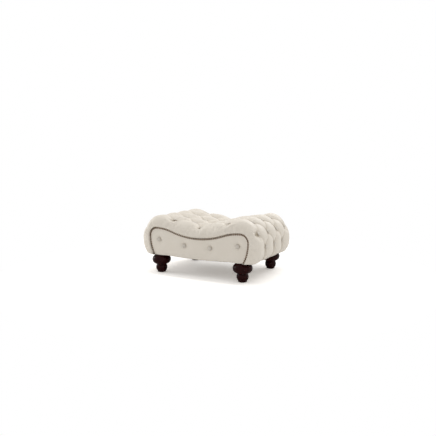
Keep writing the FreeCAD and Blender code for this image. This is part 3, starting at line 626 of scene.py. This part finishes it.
# %% [markdown]
# ## What the surface remembers
#
# The leather is painted a little darker where it lies deep in a pleat, as painted shade. A
# material can't know where that is, so each point carries its crease as a number: 0 on a
# crown and 1 at a button. It fades on the border, as the tufts do.


# %% The crease as an attribute
def remember_crease(piece, values):
    """One number for each point of a piece, under a name that the leather looks for."""
    crease = piece.data.attributes.new("crease", "FLOAT", "POINT")
    crease.data.foreach_set("value", values.astype(np.float32))


fade = np.clip(np.cos(across_stations()[1]), 0, 1) ** BORDER_FADE
creased = (1 - puff_height(runs, places)) * fade
# The inside of the stuffing gets the full crease, so it is painted in the deepest shade.
remember_crease(cover, np.concatenate([creased.ravel(), np.ones(inside[..., 0].size)]))
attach(cover, "root")
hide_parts("tufted_cover", "seat_foam", "front_edge_roll", "back_edge_roll")
print(f"{(creased > 0.5).mean():.0%} of the hide lies in a crease")

# %% [markdown]
# ## The two panels
#
# A panel is a thin pad on a board, covered in the same hide. It is drawn as upright columns
# of points between its lower and its upper edge, closer together near the horns, where the
# edges meet. The edge keeps a small gap to the hide, which the nails cover. Between the feet
# the lower edge hangs in a shallow belly, and at the last nail it draws up a little.

# %% Edge of a panel
PANEL_COLUMNS = 201
PANEL_ROWS = 49
PANEL_GAP = 1.7
EDGE_SAMPLES = 1200
FOOT_INNER = 198.5
BELLY = 6.3
CORNER_FROM = 250.0
CORNER_WIDTH = 14.0


def panel_line(run):
    """The panel line, moved inwards by the gap against its normal."""
    x, z, turned = walk(panel_chain(), np.abs(run))
    x = np.where(run < 0, -1, 1) * (x + PANEL_GAP * np.sin(turned))
    return x, z - PANEL_GAP * np.cos(turned)


def panel_edges(x):
    """Height of the lower and upper edge over an x; the belly is a parabola between the feet."""
    x_edge, z_edge = panel_line(np.linspace(0, PANEL_LENGTH, EDGE_SAMPLES))
    widest = x_edge.argmax()
    size = np.abs(x)
    upper = np.interp(size, x_edge[:widest + 1], z_edge[:widest + 1])
    side = np.interp(size, x_edge[:widest - 1:-1], z_edge[:widest - 1:-1])
    floor = HIDE_BOTTOM + PANEL_GAP * np.clip((size - CORNER_FROM) / CORNER_WIDTH, 0, 1)
    sag = BELLY * np.clip(1 - (size / FOOT_INNER) ** 2, 0, None)
    lower = np.where(size > x_edge[-1], np.maximum(side, floor), floor - sag)
    return lower, upper, x_edge.max()


widest = panel_edges(np.zeros(1))[2]
across = np.linspace(-1, 1, PANEL_COLUMNS)[:, None]
panel_x = widest * np.sin(across * math.pi / 2)
lower, upper, _ = panel_edges(panel_x)
share = (1 - np.cos(np.linspace(0, math.pi, PANEL_ROWS)[None])) / 2
panel_z = lower + (upper - lower) * share
panel_x = panel_x + 0 * panel_z
print(f"panel: {widest:.0f} mm to each side, lower edge down to {lower.min():.0f} mm")

# %% [markdown]
# ## The face of a panel
#
# The face swells slowly away from the nails and rolls over at the lower edge, where the hide
# sags. Both need the distance of each point from the nailed edge. It is the smallest distance
# to any of many points on that edge, taken a few dozen at a time to spare the memory.

# %% Swell of the face
NAIL_BAND = 9.0
SWELL = 4.0
SWELL_OVER = 24.0
SWELL_RISE = 27.0
EDGE_ROUND = 2.5
BELLY_ROUND = 9.0
HEM_EASE = 40.0
NAIL_SAMPLES = 900
NAIL_PARTS = 30
FAR_AWAY = 1e9


def rounded(distance, radius):
    """How far a rounded edge lies back: a quarter of a circle over the distance."""
    away = np.clip(radius - distance, 0, radius)
    return radius - np.sqrt(radius ** 2 - away ** 2)


def edge_distance(x, z):
    """Distance of each point from the nailed part of the panel's edge."""
    edge_x, edge_z = panel_line(np.linspace(-PANEL_LENGTH, PANEL_LENGTH, NAIL_SAMPLES))
    apart = np.full(x.shape, FAR_AWAY)
    for part in np.array_split(np.arange(NAIL_SAMPLES), NAIL_PARTS):
        dx = x[..., None] - edge_x[part]
        dz = z[..., None] - edge_z[part]
        apart = np.minimum(apart, np.hypot(dx, dz).min(-1))
    return apart


near_nails = edge_distance(panel_x, panel_z)
over_hem = panel_z - lower
swell = SWELL * (1 - np.exp(-np.clip(near_nails - NAIL_BAND, 0, None) / SWELL_OVER))
swell *= np.clip((over_hem + BELLY_ROUND) / SWELL_RISE, 0, 1)
hem = np.clip((FOOT_INNER + HEM_EASE / 2 - np.abs(panel_x)) / HEM_EASE, 0, 1)
face = PANEL_PLANE + swell - rounded(near_nails, EDGE_ROUND) - hem * rounded(over_hem, BELLY_ROUND)
print(f"face between {face.min():.1f} and {face.max():.1f} mm in front of the middle")

# %% [markdown]
# ## Four dimples
#
# Each panel button draws the face in. A dimple falls off with the exponential of a power of
# the distance, a little pointed at the button, and the same puckers gather round it. The
# crease, which paints shade into the leather there, follows it as a plain bell.

# %% Dimples of the panel buttons
DIMPLE = 7.5
DIMPLE_WIDTH = 17.0
DIMPLE_POWER = 1.5
PANEL_BUTTONS = [(-239.0, 188.5), (-78.9, 165.5), (78.9, 165.5), (239.0, 188.5)]

# The crease around the dimples paints shade into the leather.
panel_crease = np.zeros(panel_x.shape)
for spot in PANEL_BUTTONS:
    radius = np.hypot(panel_x - spot[0], panel_z - spot[1])
    panel_crease = np.maximum(panel_crease, np.exp(-(radius / DIMPLE_WIDTH) ** 2))
    face = face - DIMPLE * np.exp(-((radius / DIMPLE_WIDTH) ** DIMPLE_POWER))
face = face + puckers(panel_x, panel_z, PANEL_BUTTONS)
print(f"at a button the face lies {face.flat[panel_crease.argmax()]:.1f} mm in front of the middle")

# %% [markdown]
# ## The panel as a tray of leather
#
# The hide turns back over the board's edge, so the piece is a tray: the face, two more rings
# of points behind its edge, and a wall of leather thickness made by the Solidify modifier.
# At the horns the columns shrink to a point. Those points are merged first, and the faces
# are then turned outwards, because Solidify has to know which side is the inner one.

# %% Mesh of a panel
MERGE = 0.03


def panel_piece(name, sign):
    """Face, edge turned back to the board, and a wall; the sign says front or back."""
    middle = np.stack([panel_x, sign * face, panel_z], -1)
    loop = np.concatenate([middle[:, 0], middle[-2:0:-1, -1]])
    back = loop * [1, 0, 1] + [0, sign * BOARD_Y, 0]
    half = (loop + back) / 2
    points = np.concatenate([middle.reshape(-1, 3), half, back])
    number = numbers(middle)
    ring = np.concatenate([number[:, 0], number[-2:0:-1, -1]])
    behind = number.size + np.arange(2 * len(ring)).reshape(2, -1)
    rings = np.concatenate([ring[None], behind])
    rings = np.concatenate([rings, rings[:, :1]], 1)
    piece = new_mesh(name, points, grid_faces(number) + grid_faces(rings))
    remember_crease(piece, np.concatenate([panel_crease.ravel(), np.zeros(behind.size)]))
    soup = bmesh.new()
    soup.from_mesh(piece.data)
    bmesh.ops.remove_doubles(soup, verts=soup.verts, dist=MERGE * MM)
    bmesh.ops.dissolve_degenerate(soup, edges=soup.edges, dist=MERGE * MM)
    bmesh.ops.recalc_face_normals(soup, faces=soup.faces)
    outwards = sum(f.normal.y * f.calc_area() for f in soup.faces) * sign
    if outwards < 0:
        bmesh.ops.reverse_faces(soup, faces=soup.faces)
    soup.to_mesh(piece.data)
    soup.free()
    wall = piece.modifiers.new("hide", "SOLIDIFY")
    wall.thickness = HIDE * MM
    wall.offset = -1
    return piece


panels = []
for end, sign in (("front", -1), ("back", 1)):
    panel = panel_piece(f"{end}_panel_hide", sign)
    panels.append(panel)
    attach(panel, "root")
    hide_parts(f"{end}_facing_leather", f"{end}_facing_pad")
print(len(panels), "panels with", len(panels[0].data.polygons), "faces each")

# %% [markdown]
# ## The cloth below
#
# Black cambric is stapled under the frame to keep dust out. It is a single sheet, pulled
# flat at its edges and over the feet, and it hangs a few millimetres lower in the middle.
# Its height is a squared cosine in both directions, with a faint ripple of two crossed sines.
# The numbers in the sines are pi times the waves that they make across the cloth.

# %% Dust cloth
CLOTH_X = 271.0
CLOTH_Y = 206.3
CLOTH_Z = 101.6
CLOTH_SAG = 3.0
CLOTH_THICK = 0.8
STEP = 6.0
RIPPLE_SHARE = 0.15

u = np.linspace(-1, 1, round(2 * CLOTH_X / STEP) + 1)[:, None]
v = np.linspace(-1, 1, round(2 * CLOTH_Y / STEP) + 1)[None]
hang = (np.cos(u * math.pi / 2) * np.cos(v * math.pi / 2)) ** 2
waves_along = np.sin(9 * u + 2 * np.sin(4 * v))
waves_across = np.sin(7 * v + np.sin(3 * u))
z = CLOTH_Z - CLOTH_SAG * hang * (1 + RIPPLE_SHARE * waves_along * waves_across)
sheet = np.stack(np.broadcast_arrays(CLOTH_X * u, CLOTH_Y * v, z), -1)
dust = new_mesh("dust_cloth", sheet.reshape(-1, 3), grid_faces(numbers(sheet)))
wall = dust.modifiers.new("cloth", "SOLIDIFY")
wall.thickness = CLOTH_THICK * MM
wall.offset = 0
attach(dust, "root")
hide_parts("dust_cover")
print("dust cloth", sheet.shape, f"hangs down to {z.min():.1f} mm")

# %% [markdown]
# ## Finishes
#
# Every finish is a small tree of nodes. One function turns a hex colour into linear light,
# one starts a material, one adds a node and one links a node's inputs. Patterns are laid out
# in the object's own coordinates, so they stay where they are on the surface.
#
# Two nodes come back in every finish. A colour Mix takes a factor at input 0 and two colours
# at inputs 6 and 7, and gives their mixture at output 2. A Map Range moves input 0 from the
# range of inputs 1 and 2 to that of inputs 3 and 4.


# %% Helpers for finishes
def linear(hex_colour):
    """An sRGB hex colour as linear light: over 12.92 if very dark, else the power 2.4."""
    values = np.array([int(hex_colour[i:i + 2], 16) for i in (1, 3, 5)]) / 255
    curved = np.where(values <= 0.04045, values / 12.92, ((values + 0.055) / 1.055) ** 2.4)
    return (*curved, 1.0)


def per_metre(millimetres):
    """Scale of a texture whose patches are about that wide."""
    return 1 / (millimetres * MM)


def connect(tree, node, links):
    """Each socket is linked to the input of that name or number, and a value written there."""
    for socket, value in links.items():
        if isinstance(value, bpy.types.NodeSocket):
            tree.links.new(value, node.inputs[socket])
        else:
            node.inputs[socket].default_value = value


def add(tree, kind, links=None, **settings):
    """A new node of a kind, with its settings first and then its links and values."""
    node = tree.nodes.new("ShaderNode" + kind)
    for key, value in settings.items():
        setattr(node, key, value)
    connect(tree, node, links or {})
    return node


def start_finish(name, values):
    """A material, its tree, its shader with some even values, and the object's coordinates."""
    material = bpy.data.materials.new(name)
    material.use_nodes = True
    tree = material.node_tree
    shader = tree.nodes["Principled BSDF"]
    connect(tree, shader, values)
    place = add(tree, "TexCoord").outputs["Object"]
    return material, tree, shader, place


print("middle grey #808080 is", round(float(linear("#808080")[0]), 3), "in linear light")


# %% [markdown]
# ### Cream leather
#
# Semi-aniline upholstery leather: a thin pigment coat over a natural grain, wiped with wax.
# It gives a warm, even cream, a soft satin shine, fine pebbles and faint clouds of colour.
# Real pebbles are about a millimetre wide, too fine to show, so they are drawn three times
# as large. Deep in pleats and dimples the colour is painted darker, as painted shade.

# %% Leather
LEATHER = linear("#e9e1d5")
LEATHER_CLOUD = linear("#e2d9cb")
# Painted shade: the leather's colour deep in pleats and dimples.
LEATHER_CREASE_SHADE = linear("#b3a793")
leather, tree, shader, place = start_finish("cream_leather_semi_aniline", {"Specular IOR Level": 0.35})
clouds = add(tree, "TexNoise", {"Vector": place, "Scale": per_metre(70), "Detail": 3.0})
pebbles = add(tree, "TexVoronoi", {"Vector": place, "Scale": per_metre(3.2)})
wrinkles = add(tree, "TexNoise", {"Vector": place, "Scale": per_metre(14), "Detail": 5.0,
                                  "Distortion": 1.2})
crease = add(tree, "Attribute", attribute_name="crease")
# Painted shade grows with the crease: none up to half of it, most at a button.
deep = add(tree, "MapRange", {0: crease.outputs["Fac"], 1: 0.5, 2: 1.0, 3: 0.0, 4: 0.8})
tone = add(tree, "Mix", {0: clouds.outputs["Fac"], 6: LEATHER, 7: LEATHER_CLOUD}, data_type="RGBA")
colour = add(tree, "Mix", {0: deep.outputs[0], 6: tone.outputs[2], 7: LEATHER_CREASE_SHADE}, data_type="RGBA")
satin = add(tree, "MapRange", {0: wrinkles.outputs["Fac"], 1: 0.3, 2: 0.7, 3: 0.42, 4: 0.56})
grain = add(tree, "Bump", {"Height": pebbles.outputs["Distance"], "Strength": 0.25,
                           "Distance": 0.25 * MM})
folds = add(tree, "Bump", {"Height": wrinkles.outputs["Fac"], "Strength": 0.5,
                           "Distance": 0.8 * MM, "Normal": grain.outputs["Normal"]})
connect(tree, shader, {"Base Color": colour.outputs[2], "Roughness": satin.outputs[0],
                       "Normal": folds.outputs["Normal"]})
print(leather.name, "has", len(tree.nodes), "nodes")

# %% [markdown]
# ### Leather of the buttons
#
# Buttons are covered by a machine that pulls a round of the same hide tight over a tin cap.
# Stretched leather loses its clouds and wrinkles and looks flatter. Its colour is painted
# a little greyer than the hide's: painted shade for the dimple round each button.

# %% Leather of the buttons
# Painted shade: both colours are greyer and darker than the hide's, for the dimples.
BUTTON_LEATHER_SHADED = linear("#d2cbc0")
BUTTON_CLOUD_SHADED = linear("#cac2b6")
button_leather_painted_shade, tree, shader, place = start_finish("cream_leather_button_painted_shade",
                                                      {"Specular IOR Level": 0.35})
pores = add(tree, "TexVoronoi", {"Vector": place, "Scale": per_metre(2.4)})
clouds = add(tree, "TexNoise", {"Vector": place, "Scale": per_metre(20), "Detail": 3.0})
tone = add(tree, "Mix", {0: clouds.outputs["Fac"], 6: BUTTON_LEATHER_SHADED, 7: BUTTON_CLOUD_SHADED},
           data_type="RGBA")
satin = add(tree, "MapRange", {0: clouds.outputs["Fac"], 1: 0.3, 2: 0.7, 3: 0.4, 4: 0.5})
grain = add(tree, "Bump", {"Height": pores.outputs["Distance"], "Strength": 0.2, "Distance": 0.2 * MM})
connect(tree, shader, {"Base Color": tone.outputs[2], "Roughness": satin.outputs[0],
                       "Normal": grain.outputs["Normal"]})
print(button_leather_painted_shade.name, "has", len(tree.nodes), "nodes")

# %% [markdown]
# ### Turned mahogany
#
# The feet are turned from mahogany, stained nearly black-brown and lacquered. The grain runs
# up the foot as streaks a few millimetres wide that barely show through the stain. Stain
# takes most of the wood's own shine away, and the thin lacquer gives a small, sharp one back.

# %% Mahogany
MAHOGANY_DARK = linear("#1c0303")
MAHOGANY_RED = linear("#2c0908")
lacquer = {"Specular IOR Level": 0.05, "Coat Weight": 0.06, "Coat Roughness": 0.05}
mahogany, tree, shader, place = start_finish("mahogany_dark_stain_lacquer", lacquer)
stretched = add(tree, "Mapping", {"Vector": place, "Scale": (1.0, 1.0, 0.12)})
streaks = add(tree, "TexNoise", {"Vector": stretched.outputs[0], "Scale": per_metre(6),
                                 "Detail": 6.0, "Distortion": 0.6})
figure = add(tree, "MapRange", {0: streaks.outputs["Fac"], 1: 0.35, 2: 0.65, 3: 0.0, 4: 1.0})
tone = add(tree, "Mix", {0: figure.outputs[0], 6: MAHOGANY_DARK, 7: MAHOGANY_RED}, data_type="RGBA")
gloss = add(tree, "MapRange", {0: streaks.outputs["Fac"], 1: 0.3, 2: 0.7, 3: 0.26, 4: 0.36})
pores = add(tree, "Bump", {"Height": streaks.outputs["Fac"], "Strength": 0.2, "Distance": 0.2 * MM})
connect(tree, shader, {"Base Color": tone.outputs[2], "Roughness": gloss.outputs[0],
                       "Normal": pores.outputs["Normal"]})
print(mahogany.name, "has", len(tree.nodes), "nodes")

# %% [markdown]
# ### Antique nails
#
# Steel nails plated with brass and darkened in a bath, then rubbed in patches, which are
# paler. Patches of patina are about as wide as a nail.

# %% Nails
BRASS_DARK = linear("#5d4d40")
BRASS_WORN = linear("#8c7763")
antique, tree, shader, place = start_finish("brass_antiqued", {"Metallic": 0.85})
patina = add(tree, "TexNoise", {"Vector": place, "Scale": per_metre(6), "Detail": 3.0})
worn = add(tree, "MapRange", {0: patina.outputs["Fac"], 1: 0.35, 2: 0.65, 3: 0.0, 4: 1.0})
tone = add(tree, "Mix", {0: worn.outputs[0], 6: BRASS_DARK, 7: BRASS_WORN}, data_type="RGBA")
rubbed = add(tree, "MapRange", {0: patina.outputs["Fac"], 1: 0.3, 2: 0.7, 3: 0.38, 4: 0.55})
connect(tree, shader, {"Base Color": tone.outputs[2], "Roughness": rubbed.outputs[0]})
print(antique.name, "has", len(tree.nodes), "nodes")

# %% [markdown]
# ### Cambric
#
# Non-woven cambric is pressed from loose fibres between rollers. It is matt and black, with a
# faint cross pattern from the rollers. A wave node draws about three bands over the width
# that it is given, so 4 mm make bands 1.3 mm apart. Two of them multiplied make the crosses.

# %% Cambric
CAMBRIC_BLACK = linear("#101010")
CAMBRIC_GREY = linear("#1c1c1b")
cambric, tree, shader, place = start_finish("cambric_black_nonwoven",
                                            {"Specular IOR Level": 0.1, "Roughness": 0.95})
one_way = add(tree, "TexWave", {"Vector": place, "Scale": per_metre(4)}, bands_direction="X")
other_way = add(tree, "TexWave", {"Vector": place, "Scale": per_metre(4)}, bands_direction="Y")
cross = add(tree, "Math", {0: one_way.outputs["Fac"], 1: other_way.outputs["Fac"]},
            operation="MULTIPLY")
tone = add(tree, "Mix", {0: cross.outputs[0], 6: CAMBRIC_BLACK, 7: CAMBRIC_GREY}, data_type="RGBA")
dents = add(tree, "Bump", {"Height": cross.outputs[0], "Strength": 0.4, "Distance": 0.1 * MM})
connect(tree, shader, {"Base Color": tone.outputs[2], "Normal": dents.outputs["Normal"]})
print(cambric.name, "has", len(tree.nodes), "nodes")

# %% [markdown]
# ### Nylon
#
# The glides are moulded from brown nylon. It comes half matt out of its mould, and floors
# scuff it in patches a few millimetres wide, which are paler and duller.

# %% Nylon
NYLON_DARK = linear("#1f1916")
NYLON_WORN = linear("#2e2622")
nylon, tree, shader, place = start_finish("nylon_moulded_brown", {})
scuffs = add(tree, "TexNoise", {"Vector": place, "Scale": per_metre(3), "Detail": 4.0})
tone = add(tree, "Mix", {0: scuffs.outputs["Fac"], 6: NYLON_DARK, 7: NYLON_WORN}, data_type="RGBA")
half_matt = add(tree, "MapRange", {0: scuffs.outputs["Fac"], 1: 0.3, 2: 0.7, 3: 0.45, 4: 0.65})
connect(tree, shader, {"Base Color": tone.outputs[2], "Roughness": half_matt.outputs[0]})
print(nylon.name, "has", len(tree.nodes), "nodes")

# %% [markdown]
# ### What lies inside
#
# Plywood, steel, twine and foam can't be seen, and still get a finish of their own, in case
# someone opens the stool. They share one recipe: two colours in patches of a real size, and
# a slight bump. Only their colours, patches, roughness and metal differ.

# %% Plywood, steel, twine and foam
INSIDE = {
    # Peeled from the log, glued and sanded: pale and satin, with fine figure.
    "birch_plywood": ("#c9a878", "#a9835a", 1.5, 0.65, 0.0),
    # Plated in a bath: bluish grey spangles and a dull metal shine.
    "zinc_plated_steel": ("#b9bcbe", "#8f9294", 4.0, 0.35, 1.0),
    # Twisted and drawn through wax: straw-coloured, with a hint of its strands.
    "waxed_flax_twine": ("#c8b892", "#a3906a", 1.0, 0.8, 0.0),
    # Cut from a foamed block and yellowed by air: quite matt, with open cells.
    "polyurethane_foam": ("#ddd0a6", "#cfc095", 2.0, 0.95, 0.0),
}
inside_finishes = {}
for name, (light, dark, size, roughness, metallic) in INSIDE.items():
    material, tree, shader, place = start_finish(name, {"Roughness": roughness, "Metallic": metallic})
    layers = add(tree, "TexNoise", {"Vector": place, "Scale": per_metre(size), "Detail": 3.0})
    tone = add(tree, "Mix", {0: layers.outputs["Fac"], 6: linear(light), 7: linear(dark)},
               data_type="RGBA")
    bump = add(tree, "Bump", {"Height": layers.outputs["Fac"], "Strength": 0.3, "Distance": 0.2 * MM})
    connect(tree, shader, {"Base Color": tone.outputs[2], "Normal": bump.outputs["Normal"]})
    inside_finishes[name] = material
print(len(inside_finishes), "finishes for what lies inside")

# %% [markdown]
# ## Who wears what
#
# The record of the construction model says which finish each of its pieces has. Buttons have
# the hide's finish there, and get here the greyer button leather with its painted shade.
# The new pieces come last.

# %% Finishes onto pieces
FINISH_OF = {
    "cover_leather": leather,
    "foot_wood": mahogany,
    "antique_nails": antique,
    "cambric": cambric,
    "glide_nylon": nylon,
    "frame_plywood": inside_finishes["birch_plywood"],
    "zinc_steel": inside_finishes["zinc_plated_steel"],
    "twine": inside_finishes["waxed_flax_twine"],
    "foam": inside_finishes["polyurethane_foam"],
}
for part in frame["record"]["subparts"]:
    mesh = nodes[part["node"]].data
    mesh.materials.clear()
    is_button = part["node"].endswith("buttons")
    mesh.materials.append(button_leather_painted_shade if is_button else FINISH_OF[part["material_slot"]])
for piece in (cover, *panels):
    piece.data.materials.append(leather)
dust.data.materials.append(cambric)

# %% [markdown]
# ## The floor
#
# The stool stands on a white studio floor. Where the floor is far from the stool it turns
# into the white of the background, so that no horizon shows. The camera sees the floor
# painted brighter than it is, and a little warm light in it, so that only the shadow under
# the stool stays grey. The diffuse rays that light the stool meet the plain floor.

# %% Floor
FLOOR_RADIUS = 30.0
FLOOR_SIDES = 96
FLOOR_NEAR = 0.6
FLOOR_FAR = 1.2
FLOOR_PAINT = 0.955
FLOOR_SEEN = 1.25
SHADOW_LIFT = 0.13
SHADOW_GLOW = 2.5
SHADOW_COLOUR = linear("#fff7ed")
BACKGROUND = linear("#ffffff")
floor_paint, tree, shader, place = start_finish("studio_floor",
                                                {"Roughness": 0.9, "Specular IOR Level": 0.0})
away = add(tree, "VectorMath", {0: place}, operation="LENGTH").outputs["Value"]
far = add(tree, "MapRange", {0: away, 1: FLOOR_NEAR, 2: FLOOR_FAR, 3: 0.0, 4: 1.0}).outputs[0]
path = add(tree, "LightPath").outputs
paint = add(tree, "MapRange", {0: path["Is Camera Ray"], 1: 0.0, 2: 1.0, 3: FLOOR_PAINT, 4: FLOOR_SEEN})
connect(tree, shader, {"Base Color": paint.outputs[0]})
lift = add(tree, "Math", {0: path["Is Camera Ray"], 1: SHADOW_LIFT}, operation="MULTIPLY")
near = add(tree, "Math", {0: far, 1: lift.outputs[0]}, operation="MAXIMUM")
seen = add(tree, "Math", {0: path["Is Camera Ray"], 1: path["Is Glossy Ray"]}, operation="MAXIMUM")
white = add(tree, "Math", {0: near.outputs[0], 1: seen.outputs[0]}, operation="MULTIPLY")
tint = add(tree, "Mix", {0: far, 6: SHADOW_COLOUR, 7: BACKGROUND}, data_type="RGBA")
level = add(tree, "MapRange", {0: far, 1: 0.0, 2: 1.0, 3: SHADOW_GLOW, 4: 1.0})
glow = add(tree, "Emission", {"Color": tint.outputs[2], "Strength": level.outputs[0]})
mixed = add(tree, "MixShader", {0: white.outputs[0], 1: shader.outputs[0], 2: glow.outputs[0]})
connect(tree, tree.nodes["Material Output"], {"Surface": mixed.outputs[0]})
bpy.ops.mesh.primitive_circle_add(vertices=FLOOR_SIDES, radius=FLOOR_RADIUS, fill_type="NGON")
floor = bpy.context.object
floor.name = "floor"
floor.data.materials.append(floor_paint)
print(f"floor white from {FLOOR_FAR:.1f} m outwards")

# %% [markdown]
# ## Light from all sides
#
# The world gives an even, shadowless light. What the camera, a glossy surface or glass sees
# of it is plain white, and the light on the stool stays weaker than that.

# %% World
AMBIENT = 0.65
world = bpy.data.worlds.new("studio")
bpy.context.scene.world = world
world.use_nodes = True
tree = world.node_tree
path = add(tree, "LightPath").outputs
shown = add(tree, "Math", {0: path["Is Camera Ray"], 1: path["Is Glossy Ray"]}, operation="MAXIMUM")
shown = add(tree, "Math", {0: shown.outputs[0], 1: path["Is Transmission Ray"]}, operation="MAXIMUM")
strength = add(tree, "MapRange", {0: shown.outputs[0], 1: 0.0, 2: 1.0, 3: AMBIENT, 4: 1.0})
connect(tree, tree.nodes["Background"], {"Color": BACKGROUND, "Strength": strength.outputs[0]})
print("world", AMBIENT, "on the stool")

# %% [markdown]
# ## Three lamps
#
# A long narrow lamp straight above keeps the shadow under the stool and its ends soft. A
# large one like a window stands behind and lets the tufts cast small shadows forwards. A
# small one at the left tells the panel from the side.


# %% Lamps
def soft_light(name, place, aim, size, watts):
    """An oblong lamp that looks at a point."""
    lamp = bpy.data.lights.new(name, "AREA")
    lamp.shape = "RECTANGLE"
    lamp.energy = watts
    lamp.size, lamp.size_y = size
    light = bpy.data.objects.new(name, lamp)
    light.location = place
    light.rotation_euler = (Vector(aim) - Vector(place)).to_track_quat("-Z", "Y").to_euler()
    bpy.context.scene.collection.objects.link(light)
    print(name, watts, "W")


soft_light("strip_light", (0.0, 0.0, 2.0), (0.0, 0.0, 0.0), (4.2, 0.2), 11)
soft_light("left_light", (-2.6, -0.4, 0.9), (0.0, 0.0, 0.1), (1.2, 0.8), 16)
soft_light("window_light", (0.5, 2.5, 1.8), (0.0, 0.0, 0.2), (2.4, 1.6), 23)

# %% [markdown]
# ## The camera
#
# The camera's place, tilt, turn and lens were fitted to the feet and to the nail line of the
# real stool. It stands at the height of a low table, a little to the right of the front.

# %% Camera
CAMERA_PLACE = (1.3987, -2.5688, 0.6609)
CAMERA_TILT = math.radians(82.88)
CAMERA_TURN = math.radians(28.45)
SENSOR_MM = 36
LENS_MM = 43.46
camera = bpy.data.objects.new("camera", bpy.data.cameras.new("camera"))
camera.location = CAMERA_PLACE
camera.rotation_euler = (CAMERA_TILT, 0, CAMERA_TURN)
camera.data.sensor_width = SENSOR_MM
camera.data.lens = LENS_MM
bpy.context.scene.collection.objects.link(camera)
bpy.context.scene.camera = camera
bpy.context.scene.view_settings.view_transform = "Standard"
print(f"camera {Vector(CAMERA_PLACE).length:.1f} m away")
